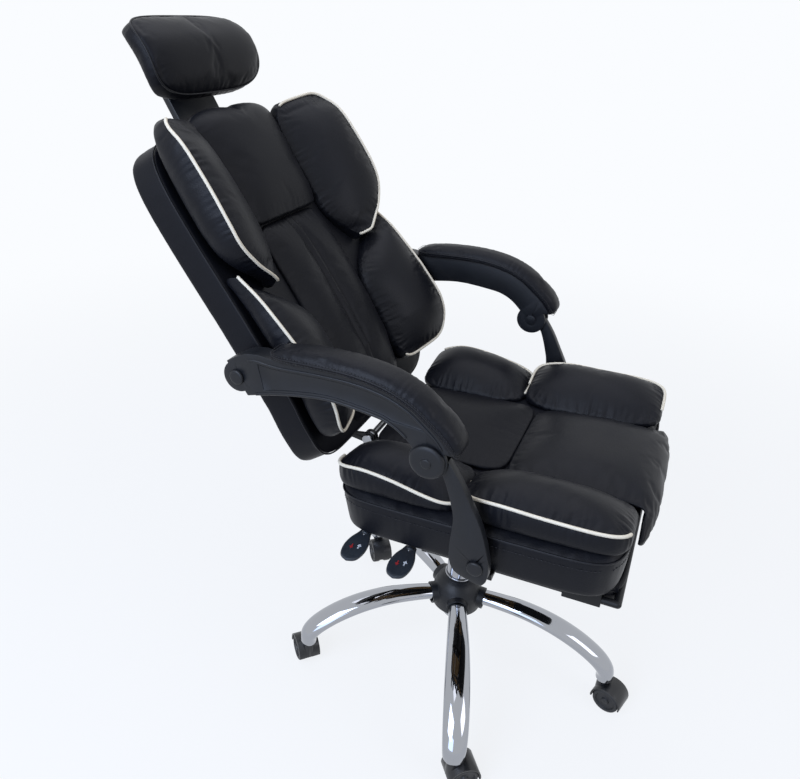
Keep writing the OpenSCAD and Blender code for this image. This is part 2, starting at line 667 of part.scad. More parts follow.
module footrest_board() {
    color(ply) at_seat() difference() {
        translate([foot_board_in - foot_w / 2, foot_y - foot_rod_r + foot_board_in,
            foot_board_z - foot_board_t])
            cube([foot_w - 2 * foot_board_in, foot_l - 2 * foot_board_in, foot_board_t]);
        cross_rod(-foot_w, foot_w, foot_y, foot_rod_z, foot_rod_r + fit);
    }
}
module footrest_pad() {
    y0 = foot_y - foot_rod_r;
    top = foot_board_z - foot_board_t - soft_gap;
    low = foot_rod_z - foot_nose;
    bulge = 3;
    crown = 7;
    plan = function(u, v, out) [(foot_w / 2 - bulge + out) * drawn(u, v),
        y0 + foot_l / 2 + (foot_l / 2 - bulge + out) * drawn(v, u)];
    front = function(u, v) let (p = plan(u, v, -soft_gap)) [p[0], p[1], top];
    rear = function(u, v) let (p = plan(u, v, 0))
        [p[0], p[1], low + crown - crown * swell(u, 6) * swell(v, 6)];
    waist = function(u, v) let (p = plan(u, v, bulge)) [p[0], p[1], (low + top) / 2];
    color(leather) at_seat() difference() {
        soft_form(front, rear, waist);
        cross_rod(-foot_w, foot_w, foot_y, foot_rod_z, foot_rod_r + soft_gap);
        translate([-foot_w, foot_y - 2 * foot_rod_r - foot_nose, foot_rod_z])
            cube([2 * foot_w, 2 * foot_rod_r + foot_nose, foot_nose]);
    }
}

// Arms, drawn for the sitter's left. Each hangs on the back at its rear and stands on a strut.
back_inset = 7; // by which the back is narrower than the seat on each side before it moves the arms out
arm_x = max(seat_w / 2, back_w / 2 + back_inset) + arm_out;
arm_rear = [301, 698];
arm_front = [-9, 650];
arm_run = arm_rear[0] - arm_front[0];
arm_rise = 50;
arm_w = 30;
cheek = 6;
arm_crown = 6; // thickness of the bracket's top web
arm_x0 = arm_x - arm_w / 2;
arm_x1 = arm_x + arm_w / 2;
arm_rear_r = 25;
arm_front_r = 28;
arm_pin_r = 5;
linkage_play = 2.2; // room for the strut at the knob's pin, since the linkage is opened there
arm_top_shares = [[-0.06, 0.44], [0.068, 0.88], [0.229, 0.88], [0.42, 0.98], [0.616, 1.02], [0.777, 0.9],
    [0.9, 0.62], [0.985, 0.26], [1.06, -0.14], [1.112, -0.6]];
arm_low_shares = [[0.932, -0.72], [0.868, -0.36], [0.8, -0.14], [0.719, -0.04], [0.519, 0.04],
    [0.361, -0.08], [0.2, -0.3], [0.055, -0.56]];
function arm_at(share) = [arm_rear[0] - share[0] * arm_run, arm_rear[1] + share[1] * arm_rise];
function arm_top(f) = arm_at(spline_on(arm_top_shares, f));
function arm_low(f) = arm_at(spline_on(arm_low_shares, f));
function arm_normal(f) = let (d = arm_top(min(f + 0.01, 1)) - arm_top(max(f - 0.01, 0)))
    [d[1], -d[0]] / norm(d);
arm_steps = 20;
module arm_outline(drop) {
    polygon(concat([for (i = [0:arm_steps]) let (f = i / arm_steps) arm_top(f) - drop * arm_normal(f)],
        [for (i = [0:arm_steps]) arm_low(i / arm_steps)]));
}
module arm_plate() {
    arm_outline(0);
    translate(arm_rear) circle(r = arm_rear_r, $fn = facets);
    translate(arm_front) circle(r = arm_front_r, $fn = facets);
}
panel_depth = 1.5;
module arm_bracket() {
    difference() {
        side_cut(arm_x0, arm_x1) arm_plate();
        side_cut(arm_x0 + cheek, arm_x1 - cheek) {
            arm_outline(arm_crown);
            translate([0, -arm_rise / 2]) arm_outline(arm_crown);
            translate(arm_rear) circle(r = arm_rear_r - arm_crown, $fn = facets);
            translate(arm_front) circle(r = arm_front_r + eps, $fn = facets);
        }
        side_cut(arm_x1 - panel_depth, arm_x1 + eps) polygon(concat(
            [for (i = [3:arm_steps - 4]) let (f = i / arm_steps)
                arm_top(f) - 2.6 * arm_crown * arm_normal(f)],
            [for (i = [5:arm_steps - 2]) let (f = i / arm_steps) arm_low(f) + [0, arm_crown * 1.4]]));
        cross_rod(arm_x0 - eps, arm_x1 + eps, arm_rear[0], arm_rear[1], arm_pin_r + fit);
        cross_rod(arm_x0 - eps, arm_x1 + eps, arm_front[0], arm_front[1], arm_pin_r);
    }
}
arm_pad_t = 22;
arm_pad_rear = 0.2; // share of the top line at which the pad begins
module arm_pad() {
    f = function(v) mix(arm_pad_rear, 1, (v + 1) / 2);
    half = function(v) arm_pad_w / 2 * (1 - 0.16 * pow(abs(v), 6));
    place = function(u, v, up) let (g = f(v), p = arm_top(g) + up * arm_normal(g))
        [arm_x + half(v) * u, p[0], p[1]];
    front = function(u, v) place(u * 0.96, v,
        soft_gap + arm_pad_t * (0.45 + 0.55 * swell(u, 3) * swell(v, 8)));
    rear = function(u, v) place(u * 0.96, v, soft_gap);
    waist = function(u, v) place(u, v * 1.01 - 0.01, soft_gap + arm_pad_t * 0.3);
    soft_form(front, rear, waist, 6, 14);
}
knob_t = 7;
cap_r = 8;
module domed_cap(x, p, r, t) {
    translate([x, p[0], p[1]]) rotate([0, 90, 0]) rotate_extrude($fn = facets)
        polygon(concat([[0, 0], [r, 0]],
            [for (a = [0:15:75]) [r * (0.72 + 0.28 * cos(a)), t * (0.4 + 0.6 * sin(a))]], [[0, t]]));
}
module arm_knob() {
    cross_rod(arm_x0 - cheek / 2, arm_x1, arm_front[0], arm_front[1], arm_pin_r);
    cross_rod(arm_x0 - cheek / 2, arm_x0, arm_front[0], arm_front[1], 2 * arm_pin_r);
    domed_cap(arm_x1, arm_front, knob_r, knob_t);
    domed_cap(arm_x1 + knob_t / 2, arm_front, cap_r, knob_t * 0.8);
}
strut_foot_y = -92;
strut_foot_rise = 39.5;
strut_foot = [strut_foot_y, seat_z + strut_foot_rise];
strut_w = 15;
strut_x0 = arm_x - strut_w / 2;
strut_x1 = arm_x + strut_w / 2;
strut_eye_r = 21;
strut_run = arm_front - strut_foot;
strut_shares = [[0.85, 0.94], [0.72, 0.83], [0.59, 0.65], [0.49, 0.45], [0.5, 0.2], [0.48, 0], [0.36, -0.12],
    [0.1, -0.165], [-0.17, -0.17], [-0.24, -0.01], [-0.16, 0.2], [0, 0.44], [0.23, 0.66], [0.45, 0.86],
    [0.68, 1.02]];
strut_steps = 42;
module strut_outline() {
    polygon([for (i = [0:strut_steps]) let (p = spline_on(strut_shares, i / strut_steps))
        strut_foot + [p[0] * strut_run[0], p[1] * strut_run[1]]]);
}
module strut() {
    difference() {
        union() {
            side_cut(strut_x0, strut_x1) strut_outline();
            cross_rod(strut_x0, strut_x1, arm_front[0], arm_front[1], strut_eye_r);
        }
        cross_rod(strut_x0 - eps, strut_x1 + eps, arm_front[0], arm_front[1], arm_pin_r + linkage_play);
        cross_rod(strut_x0 - eps, strut_x1 + eps, strut_foot[0], strut_foot[1], arm_pin_r + fit);
    }
}
strut_bar_y = -94;
strut_bar_w = 38;
strut_bar_l = 94.5;
strut_stand = 11; // from a strut to the upright plate that carries it
bar_x = strut_x0 - strut_stand;
strut_bar_x0 = bar_x - strut_bar_l;
module strut_brackets() {
    color(steel) both_sides() difference() {
        union() {
            at_seat() translate([strut_bar_x0 - 3 * bolt_r, strut_bar_y - strut_bar_w / 2, -plate])
                cube([bar_x - strut_bar_x0 + 3 * bolt_r, strut_bar_w, plate]);
            at_seat() translate([bar_x - plate, strut_bar_y - strut_bar_w / 2, -plate])
                cube([plate, strut_bar_w, 2 * plate]);
            side_cut(bar_x - plate, bar_x) {
                translate(strut_foot) circle(r = 2.6 * arm_pin_r, $fn = facets);
                translate([strut_foot[0] - 2.6 * arm_pin_r, strut_foot[1] - 7 * arm_pin_r])
                    square([5.2 * arm_pin_r, 7 * arm_pin_r]);
            }
        }
        at_seat() bar_bolt_places() cylinder(h = 4 * plate, r = bolt_r + fit, center = true, $fn = facets);
        cross_rod(0, 2 * bar_x, strut_foot[0], strut_foot[1], arm_pin_r);
    }
}
module strut_pins() {
    color(moulded) both_sides() {
        cross_rod(bar_x - 1.4 * plate, strut_x1 + eps, strut_foot[0], strut_foot[1], arm_pin_r);
        cross_rod(bar_x, strut_x0 - 4 * fit, strut_foot[0], strut_foot[1], 2 * arm_pin_r);
        domed_cap(strut_x1 + 4 * fit, strut_foot, 2.4 * arm_pin_r, arm_pin_r);
    }
}
stud_in = 45; // reach of a back stud inside the slab
stud_gap = 2;
module arm_pivot_pins() {
    color(moulded) both_sides() {
        cross_rod(back_w / 2 - stud_in, arm_x1 + eps, arm_rear[0], arm_rear[1], arm_pin_r);
        cross_rod(back_w / 2 + stud_gap, arm_x0 - 4 * fit, arm_rear[0], arm_rear[1], 2.2 * arm_pin_r);
        domed_cap(arm_x1 + 4 * fit, arm_rear, 2.4 * arm_pin_r, arm_pin_r);
    }
}
module arm_bracket_left() { color(moulded) arm_bracket(); }
module arm_bracket_right() { mirror([1, 0, 0]) arm_bracket_left(); }
module arm_pad_left() { color(leather) arm_pad(); }
module arm_pad_right() { mirror([1, 0, 0]) arm_pad_left(); }
module arm_knob_left() { color(moulded) arm_knob(); }
module arm_knob_right() { mirror([1, 0, 0]) arm_knob_left(); }
module strut_left() { color(moulded) strut(); }
module strut_right() { mirror([1, 0, 0]) strut_left(); }

// Back, in its own frame: X across, Z up along the slab, -Y towards the sitter
back_curve_shares = [[0, 0], [0.1, 0.6], [0.22, 0.97], [0.35, 0.95], [0.5, 0.75], [0.7, 0.38], [0.85, 0.12],
    [1, -0.1]];
function back_curve(s) = lumbar * lookup(max(0, min(1, s / back_h)), back_curve_shares);
board_back_t = 12;
front_pad_t = 12;
board_rear = board_back_t + front_pad_t; // from the slab's front face to the board's rear face
lay = 0.9; // room under a cushion that lies on the curved slab
board_room = 0.9; // room on each side of the board inside the slab
back_half_w = back_w / 2;
function back_plan(u, v, inset) = let (taper = 1 - 0.09 * pow(max(v, 0), 3) - 0.1 * pow(max(-v, 0), 4))
    [(back_half_w * taper - inset) * u * sqrt(1 - 0.1 * v * v),
        back_h / 2 + (back_h / 2 - inset) * v * sqrt(1 - 0.1 * u * u)];
function on_back(p, depth) = [p[0], depth - back_curve(p[1]), p[1]];
module back_shell() {
    rim_t = 22;
    rim_in = 3;
    front = function(u, v) on_back(back_plan(u, v, 1), board_rear + soft_gap);
    rear = function(u, v) on_back(back_plan(u, v, rim_in),
        board_rear + rim_t + (slab_t - board_rear - rim_t) * swell(u, 14) * swell(v, 9));
    waist = function(u, v) on_back(back_plan(u, v, 0), board_rear + rim_t / 2);
    color(leather) at_back() difference() {
        soft_form(front, rear, waist, 10, 12);
        both_sides() bracket_bar(1);
        translate([-socket_w / 2 - socket_gap, socket_y0 - socket_gap, socket_z0 - socket_gap])
            cube([socket_w + 2 * socket_gap, 2 * slab_t, back_h]);
        both_sides() arm_stud(1);
    }
}
module back_board() {
    margin = 10;
    front = function(u, v) on_back(back_plan(u, v, margin), front_pad_t + board_room);
    rear = function(u, v) on_back(back_plan(u, v, margin), board_rear - board_room);
    color(ply) at_back() difference() {
        soft_form(front, rear, function(u, v) (front(u, v) + rear(u, v)) / 2, 4, 12);
        both_sides() arm_stud(0);
    }
}
module back_border_pad() {
    edge = 3;
    front = function(u, v) on_back(back_plan(u, v, edge), edge * pow(max(abs(u), abs(v)), 10));
    rear = function(u, v) on_back(back_plan(u, v, 1), front_pad_t - soft_gap);
    waist = function(u, v) on_back(back_plan(u, v, 0), front_pad_t / 2);
    color(leather) at_back() difference() {
        soft_form(front, rear, waist, 8, 12);
        both_sides() arm_stud(1);
    }
}
function to_back(p) = let (y = p[0] - back_foot_y, z = p[1] - back_foot_z)
    [y * cos(back_lean) - z * sin(back_lean), y * sin(back_lean) + z * cos(back_lean)];
module arm_stud(room) {
    p = to_back(arm_rear);
    cross_rod(back_w / 2 - stud_in - eps, back_w / 2 + arm_pin_r, p[0], p[1],
        arm_pin_r + fit + room * soft_gap);
}
bar_reach = 160;
bar_depth = 16;
bar_steps = 8;
module bracket_bar(room) {
    p = to_back([hinge_y, hinge_z]);
    r = room * soft_gap;
    translate([back_ear_x - r, 0, 0]) rotate([90, 0, 90]) linear_extrude(plate + 2 * r) polygon(concat(
        [for (k = [0:bar_steps]) let (s = bar_reach * k / bar_steps)
            [board_rear + board_room - back_curve(s) - r, s]],
        [for (k = [bar_steps:-1:0]) let (s = bar_reach * k / bar_steps)
            [board_rear + board_room + bar_depth - back_curve(s) + r, s + (k == bar_steps ? r : 0)]],
        [[p[0] + 0.8 * hinge_ear_r, p[1] - 0.4 * hinge_ear_r],
            [p[0] - 0.6 * hinge_ear_r, p[1] + 0.8 * hinge_ear_r]]));
}
module back_bracket() {
    p = to_back([hinge_y, hinge_z]);
    color(steel) at_back() both_sides() difference() {
        union() {
            bracket_bar(0);
            cross_rod(back_ear_x, back_ear_x + plate, p[0], p[1], hinge_ear_r);
        }
        cross_rod(0, 2 * back_ear_x, p[0], p[1], hinge_r);
    }
}
// Middle cushions of the back
upper_panel_l = 169;
panel_split = back_h - upper_panel_l;
roll_shares = [[0, 0.42], [0.2, 0.64], [0.45, 0.68], [0.7, 0.64], [0.9, 0.48], [1.01, 0.16], [1.02, -0.12],
    [0.955, -0.34]];
roll_inner_shares = [[0, 0], [0.2, 0], [0.45, 0], [0.65, 0], [0.8, 0], [0.865, 0], [0.872, -0.06],
    [0.872, -0.3]];
panel_rise = 52;
roll_over = 4; // by which the upper cushion overhangs the slab
roll_l = back_h + roll_over - panel_split;
roll_in = 12;
module back_upper_panel() {
    f = function(v) (v + 1) / 2;
    side_bulge = 2;
    hw = seat_mid_w / 2 - roll_in;
    path = function(q) let (s = panel_split + mid_gap + q[0] * roll_l * 1.147)
        [s, back_curve(min(s, back_h)) + lay + q[1] * panel_rise];
    front = function(u, v) let (p = spline_on(roll_shares, f(v)), q = spline_on(roll_inner_shares, f(v)),
        w = 0.25 + 0.75 * swell(u, 4), r = path(mix(q, p, w))) [hw * u * (1 + 0.1 * f(v)), -r[1], r[0]];
    rear = function(u, v) let (r = path(spline_on(roll_inner_shares, f(v))))
        [hw * u * (1 + 0.1 * f(v)), -r[1], r[0]];
    waist = function(u, v) (front(u, v) + rear(u, v)) / 2 + [side_bulge * u, 0, 0];
    color(leather) at_back() soft_form(front, rear, waist, 8, 14);
}
channel_x = 13; // from the middle to each sewn line of the lower panel
channel_depth = 5;
module back_lower_panel() {
    hw = seat_mid_w / 2 - 1.5 * roll_in;
    s0 = 14;
    edge_h = 6;
    crown = 13;
    groove = function(x) channel_depth * (abs(abs(x) - channel_x) < 0.4 * channel_x ? 1 : 0);
    xs = function(u) let (k = round((u + 1) * 5), places = [-hw, -0.72 * hw, -2 * channel_x, -channel_x,
        -0.5 * channel_x, 0, 0.5 * channel_x, channel_x, 2 * channel_x, 0.72 * hw, hw]) places[k];
    s = function(v) mix(s0, panel_split - mid_gap, (v + 1) / 2);
    front = function(u, v) let (x = xs(u)) on_back([x, s(v)],
        -lay - edge_h - (crown * swell(x / hw, 5) - groove(x)) * swell(v, 8));
    rear = function(u, v) on_back([xs(u), s(v)], -lay);
    color(leather) at_back() soft_form(front, rear, function(u, v) (front(u, v) + rear(u, v)) / 2, 10, 10);
}
// Side cushion of the back: edges, ends, height of its outer edge, crown
back_lip = 14; // thickness of a side cushion at its inner edge
back_crown = 20; // of a side cushion above its seam
rear_in = 7; // by which its rear edge lies inside its seam
module back_wing(x0, x1, s0, s1, edge, in1, round0, round1) {
    side_bulge = 2.5;
    x = function(u, v) mix(x0 + in1 * pow(max(v, 0), 3), x1 - (v < 0 ? round0 : round1) * pow(abs(v), 3),
        (u + 1) / 2);
    s = function(u, v) mix(s0, s1, (v * sqrt(1 - 0.1 * u * u) + 1) / 2);
    high = function(u, v) mix(back_lip, edge * (1 - 0.35 * pow(abs(v), 4)), pow((u + 1) / 2, 0.8));
    front = function(u, v) on_back([x(u, v), s(u, v)],
        -lay - high(u, v) - back_crown * swell(u, 2.4) * swell(v, 3.4));
    rear = function(u, v) on_back([x(u, v), s(u, v)] - [rear_in * max(u, 0), 0],
        -lay - 0.4 * high(u, v) * pow(abs(v), 6) * max(u, 0));
    waist = function(u, v) (front(u, v) * 0.45 + rear(u, v) * 0.55) + [side_bulge * max(u, 0), 0, 0];
    soft_form(front, rear, waist);
}
wing_split = 304; // height at which the side cushions meet
wing_foot = 50;
wing_over = 21; // by which the upper ones overhang the slab
upper_in = 2; // side cushions' edges from those of the middle strip and the slab
lower_in = 12;
upper_out = 6;
lower_out = 8;
wing_narrow = 66; // rounding of the side cushions' outer corners where they meet, and at their other ends
wing_wide = 26;
wing_skew = 62; // rounding of the lower ones' inner corners at their heads
module back_upper_wings() {
    color(leather) at_back() both_sides() back_wing(seat_mid_w / 2 - upper_in, back_w / 2 - upper_out,
        wing_split + mid_gap, back_h + wing_over, back_wing_h + upper_out, 0, wing_narrow, wing_wide);
}
module back_lower_wings() {
    color(leather) at_back() both_sides() back_wing(seat_mid_w / 2 - lower_in, back_w / 2 - lower_out,
        wing_foot, wing_split - mid_gap, back_wing_h - upper_in, wing_skew, wing_wide, wing_wide);
}

// Headrest, in the frame of the back
socket_w = 140;
socket_gap = 1; // room round it in the rear cover
socket_y0 = 42;
socket_y1 = 70;
socket_grip = 95; // length of the socket on the slab, and above it
socket_rise = 47;
socket_z0 = back_h - socket_grip;
socket_z1 = back_h + socket_rise;
stem_w = 120;
stem_t = 12;
stem_y = (socket_y0 + socket_y1) / 2;
slide_gap = 0.4;
module headrest_socket() {
    rib = 3;
    color(moulded) at_back() difference() {
        union() {
            translate([-socket_w / 2, socket_y0, socket_z0])
                cube([socket_w, socket_y1 - socket_y0, socket_z1 - socket_z0]);
            for (k = [0:4])
                translate([-socket_w / 2 - rib / 2, slab_t + rib, socket_z1 - 6 * rib - 3 * rib * k])
                    cube([socket_w + rib, socket_y1 - slab_t - rib, rib]);
        }
        translate([-stem_w / 2 - slide_gap, stem_y - stem_t / 2 - slide_gap, socket_z0 - eps])
            cube([stem_w + 2 * slide_gap, stem_t + 2 * slide_gap, socket_z1 - socket_z0 + 2 * eps]);
    }
}
head_hinge_y = 50;
head_rise = 145; // of the headrest's hinge above the slab
head_hinge = [head_hinge_y, back_h + head_rise];
head_neck = 41; // height of the stem's narrow top
head_pin_r = 5;
head_barrel_r = 10;
module headrest_stem() {
    color(moulded) at_back() {
        translate([-stem_w / 2, stem_y - stem_t / 2, socket_z0 + stem_t])
            cube([stem_w, stem_t, head_hinge[1] - head_neck + eps - socket_z0 - stem_t]);
        difference() {
            union() {
                translate([-stem_w / 4, stem_y - stem_t / 2, head_hinge[1] - head_neck])
                    cube([stem_w / 2, stem_t, head_neck]);
                cross_rod(-stem_w / 4, stem_w / 4, head_hinge[0], head_hinge[1], head_barrel_r);
            }
            cross_rod(-stem_w, stem_w, head_hinge[0], head_hinge[1], head_pin_r + fit);
        }
    }
}
head_front = 38; // reach of the headrest pad in front of the back's frame
head_seam = -24; // middle of its seam
head_bend = 26; // by which its edges lie behind its middle
head_rear = 8; // middle of its hollow rear face
head_hollow = 14; // depth of that hollow
head_lobe = 4; // fullness of the rolls above and below it
head_above = 6; // middle of the pad above its hinge
head_mid = head_hinge[1] + head_above;
head_shell_t = 4;
head_edge = 4; // least thickness of the pad, at its rim
head_ear_t = 7;
shell_w = 200; // plate behind the pad
shell_h = 62;
shell_lay = 0.9; // room between the pad and its plate
// Round-ended outline: u and v on a square come to a superellipse
function head_u(u, v) = u * pow(1 - 0.5 * pow(abs(v), 3), 1 / 3);
function head_point(u, v, y, inset) = [(head_w / 2 - inset) * head_u(u, v), y,
    head_mid + (head_h / 2 - inset) * head_u(v, u)];
function head_back(x, z) = let (a = 2 * x / head_w, b = 2 * z / head_h)
    head_rear + head_hollow * b * b - head_edge * pow(abs(a), 3)
    + head_lobe * exp(-pow((abs(b) - 0.74) / 0.2, 2)) * max(0, 1 - pow(abs(a), 8));
module headrest_shell() {
    place = function(u, v) [shell_w / 2 * u * sqrt(1 - 0.2 * v * v), shell_h / 2 * v * sqrt(1 - 0.2 * u * u)];
    skin = function(u, v, out) let (p = place(u, v)) [p[0], head_back(p[0], p[1]) + out, head_mid + p[1]];
    front = function(u, v) skin(u, v, shell_lay);
    rear = function(u, v) skin(u, v, head_shell_t);
    color(moulded) at_back() {
        soft_form(front, rear, function(u, v) (front(u, v) + rear(u, v)) / 2, 8, 10);
        both_sides() {
            cross_rod(stem_w / 4 + 2 * fit, stem_w / 4 + head_ear_t, head_hinge[0], head_hinge[1],
                head_barrel_r);
            translate([stem_w / 4 + 2 * fit, head_rear + head_shell_t / 2, head_hinge[1] - head_barrel_r])
                cube([head_ear_t - 2 * fit, head_hinge[0] - head_rear - head_shell_t / 2, 2 * head_barrel_r]);
        }
        cross_rod(-stem_w / 4 - head_ear_t, stem_w / 4 + head_ear_t, head_hinge[0], head_hinge[1],
            head_pin_r);
    }
}
module headrest_pad() {
    bulge = 4;
    front = function(u, v) let (b = head_u(v, u), seam = head_seam + head_bend * b * b)
        head_point(u, v, seam - (head_front + head_seam) * pow(swell(u, 5) * swell(v, 4), 0.6), 0);
    rear = function(u, v)
        head_point(u, v, head_back(head_w / 2 * head_u(u, v), head_h / 2 * head_u(v, u)), 0);
    waist = function(u, v) (front(u, v) + rear(u, v)) / 2 + [bulge * u, 0, bulge * v];
    color(leather) at_back() soft_form(front, rear, waist, 14, 14);
}

star_legs();
hub_tube();
hub_cover();
caster_sockets();
column_tube();
column_bush();
thrust_bearing();
caster_hood_1();
caster_hood_2();
caster_hood_3();
caster_hood_4();
caster_hood_5();
caster_wheels_1();
caster_wheels_2();
caster_wheels_3();
caster_wheels_4();
caster_wheels_5();
piston_rod();
gas_cylinder();
mechanism_tray();
seat_board();
seat_base_pad();
seat_rear_panel();
seat_front_panel();
seat_rear_wings();
seat_front_wings();
strut_brackets();
footrest_rails();
seat_bolts();
hinge_pin();
strut_pins();
valve_button();
lift_lever();
recline_lever();
back_bracket();
back_shell();
back_board();
back_border_pad();
back_upper_panel();
back_lower_panel();
back_upper_wings();
back_lower_wings();
headrest_socket();
arm_pivot_pins();
headrest_stem();
headrest_shell();
headrest_pad();
arm_bracket_left();
arm_bracket_right();
arm_pad_left();
arm_pad_right();
arm_knob_left();
arm_knob_right();
strut_left();
strut_right();
footrest_frame();
footrest_board();
footrest_pad();
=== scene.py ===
"""Looks of the reclining office chair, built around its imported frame.

Every length in the classes below is in millimetres in a local frame of the seat, the back or the
chair, and becomes metres when a mesh is made. The chair faces -Y, with +X to the sitter's left.
"""

from __future__ import annotations

import logging
import math
from collections.abc import Callable, Sequence
from dataclasses import dataclass
from enum import Enum

import bmesh
import bpy
import numpy as np
from mathutils import Matrix, Vector

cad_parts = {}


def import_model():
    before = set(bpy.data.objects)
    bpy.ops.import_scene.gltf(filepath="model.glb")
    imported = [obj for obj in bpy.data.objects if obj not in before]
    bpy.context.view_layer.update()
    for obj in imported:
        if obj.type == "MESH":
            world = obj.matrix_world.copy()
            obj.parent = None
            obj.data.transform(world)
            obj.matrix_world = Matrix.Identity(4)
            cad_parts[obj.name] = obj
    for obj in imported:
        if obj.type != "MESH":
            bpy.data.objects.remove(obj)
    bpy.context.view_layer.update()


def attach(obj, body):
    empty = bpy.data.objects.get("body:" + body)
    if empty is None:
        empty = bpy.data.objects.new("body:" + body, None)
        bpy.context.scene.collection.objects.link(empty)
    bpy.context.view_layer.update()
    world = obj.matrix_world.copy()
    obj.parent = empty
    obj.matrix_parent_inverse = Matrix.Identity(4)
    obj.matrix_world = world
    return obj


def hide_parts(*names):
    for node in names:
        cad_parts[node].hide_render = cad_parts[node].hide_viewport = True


LOG = logging.getLogger("chair")
MM = 0.001
Array = np.ndarray
Piece = bpy.types.Object
Sheet = Callable[[Array, Array], Array]


class Side(Enum):
    """The sitter's left or right, as the sign of X."""

    LEFT = 1
    RIGHT = -1

    @property
    def word(self) -> str:
        """The name as it ends a node's name."""
        return self.name.lower()


# Small geometry


def mix(low: float | Array, high: float | Array, share: float | Array) -> float | Array:
    """Returns the value at share of the way from low to high."""
    return low + (high - low) * share


def swell(u: Array, power: float) -> Array:
    """Returns 1 in the middle and 0 at both edges, flatter with a higher power."""
    return 1 - np.abs(u) ** power


def ease(t: Array) -> Array:
    """Returns a smooth step from 0 to 1."""
    t = np.clip(t, 0, 1)
    return t * t * (3 - 2 * t)


def spline(points: Sequence[Sequence[float]], share: Array) -> Array:
    """Returns points on the smooth curve through the given ones.

    Args:
        points: the points that the curve passes through.
        share: where on the curve, from 0 to 1.

    Returns:
        An array with one more axis than share.
    """
    p = np.asarray(points, float)
    q = np.clip(np.asarray(share, float), 0, 1) * (len(p) - 1)
    i = np.minimum(np.floor(q).astype(int), len(p) - 2)
    f = (q - i)[..., None]
    a, b, c, d = (p[np.clip(i + k, 0, len(p) - 1)] for k in (-1, 0, 1, 2))
    curved = (2 * a - 5 * b + 4 * c - d) * f**2 + (3 * b - a - 3 * c + d) * f**3
    return 0.5 * (2 * b + (c - a) * f + curved)


def row_at(row: Sequence[float], share: Array) -> Array:
    """Returns the value on the smooth curve through a row of values."""
    return spline([(value,) for value in row], share)[..., 0]


def distances(path: Array) -> Array:
    """Returns how far along the path each of its points lies."""
    return np.concatenate([[0], np.cumsum(np.linalg.norm(np.diff(path, axis=0), axis=1))])


def even(path: Array, step: float) -> Array:
    """Returns a path in metres with its points an even step in millimetres apart, ends kept."""
    along = distances(path)
    count = max(2, round(along[-1] / (step * MM)))
    where = np.linspace(0, along[-1], count + 1)
    return np.stack([np.interp(where, along, path[:, k]) for k in range(path.shape[1])], axis=1)


def unit(v: Array) -> Array:
    """Returns the vectors at length 1."""
    return v / np.maximum(np.linalg.norm(v, axis=-1, keepdims=True), 1e-12)


def stack(x: Array, y: Array, z: Array) -> Array:
    """Returns one array of points from three arrays that broadcast together."""
    return np.stack(np.broadcast_arrays(x, y, z), axis=-1).astype(float)


@dataclass(frozen=True)
class Placing:
    """A frame that leans back about X at its foot."""

    foot_y: float
    foot_z: float
    lean: float

    def world(self, points: Array) -> Array:
        """Returns local millimetres as metres in the chair's frame."""
        c, s = math.cos(math.radians(self.lean)), math.sin(math.radians(self.lean))
        x, y, z = (points[..., k] for k in range(3))
        return stack(x, self.foot_y + y * c + z * s, self.foot_z - y * s + z * c) * MM


SEAT_AT = Placing(foot_y=0, foot_z=449.5, lean=4)
BACK_AT = Placing(foot_y=198, foot_z=518, lean=32)
CHAIR_AT = Placing(foot_y=0, foot_z=0, lean=0)


# Meshes


def add_object(name: str, data: bpy.types.ID) -> Piece:
    """Returns a new object of the scene that shows the data."""
    piece = bpy.data.objects.new(name, data)
    bpy.context.scene.collection.objects.link(piece)
    return piece


def make_mesh(name: str, points: Array, faces: Sequence[Sequence[int]], finish: Finish) -> Piece:
    """Makes a smooth-shaded object whose place is in its mesh.

    Args:
        name: name of the piece.
        points: vertices in metres.
        faces: vertex numbers of each face.
        finish: what its surface is made of.

    Returns:
        The new object.
    """
    mesh = bpy.data.meshes.new(name)
    mesh.from_pydata([tuple(p) for p in points.reshape(-1, 3)], [], [tuple(f) for f in faces])
    work = bmesh.new()
    work.from_mesh(mesh)
    bmesh.ops.recalc_face_normals(work, faces=work.faces)
    work.to_mesh(mesh)
    work.free()
    mesh.shade_smooth()
    mesh.materials.append(finish.material)
    return add_object(name, mesh)


def positions(piece: Piece) -> tuple[Array, Array]:
    """Returns the vertices and vertex normals of a piece, in metres."""
    count = len(piece.data.vertices)
    points, normals = np.empty(count * 3), np.empty(count * 3)
    piece.data.vertices.foreach_get("co", points)
    piece.data.vertices.foreach_get("normal", normals)
    return points.reshape(-1, 3), normals.reshape(-1, 3)


def add_modifier(piece: Piece, kind: str, **settings) -> bpy.types.Modifier:
    """Adds a modifier with its settings."""
    modifier = piece.modifiers.new(kind.title(), kind)
    for key, value in settings.items():
        setattr(modifier, key, value)
    return modifier


def frames_along(path: Array, first: Array) -> tuple[Array, Array]:
    """Returns two directions across the path at each point, turned as little as possible."""
    tangent = unit(np.gradient(path, axis=0))
    side = first - tangent[0] * (first @ tangent[0])
    sides = []
    for t in tangent:
        side = unit(side - t * (side @ t))
        sides.append(side)
    sides = np.array(sides)
    return sides, np.cross(tangent, sides)


def between(low: Sequence[int], high: Sequence[int]) -> list[tuple[int, ...]]:
    """Returns the quads between two closed rings of point numbers."""
    following = [*range(1, len(low)), 0]
    return [(low[k], low[n], high[n], high[k]) for k, n in enumerate(following)]


def tube_faces(rings: int, sides: int, first: int = 0) -> list[tuple[int, ...]]:
    """Returns the faces of a closed tube.

    Args:
        rings: number of rings of points that follow one another.
        sides: points on each ring.
        first: number of the first point.

    Returns:
        The walls, then the caps of the first and the last ring.
    """
    at = (np.arange(rings * sides) + first).reshape(rings, sides).tolist()
    walls = [face for low, high in zip(at, at[1:]) for face in between(low, high)]
    return [*walls, tuple(at[0]), tuple(at[-1])]


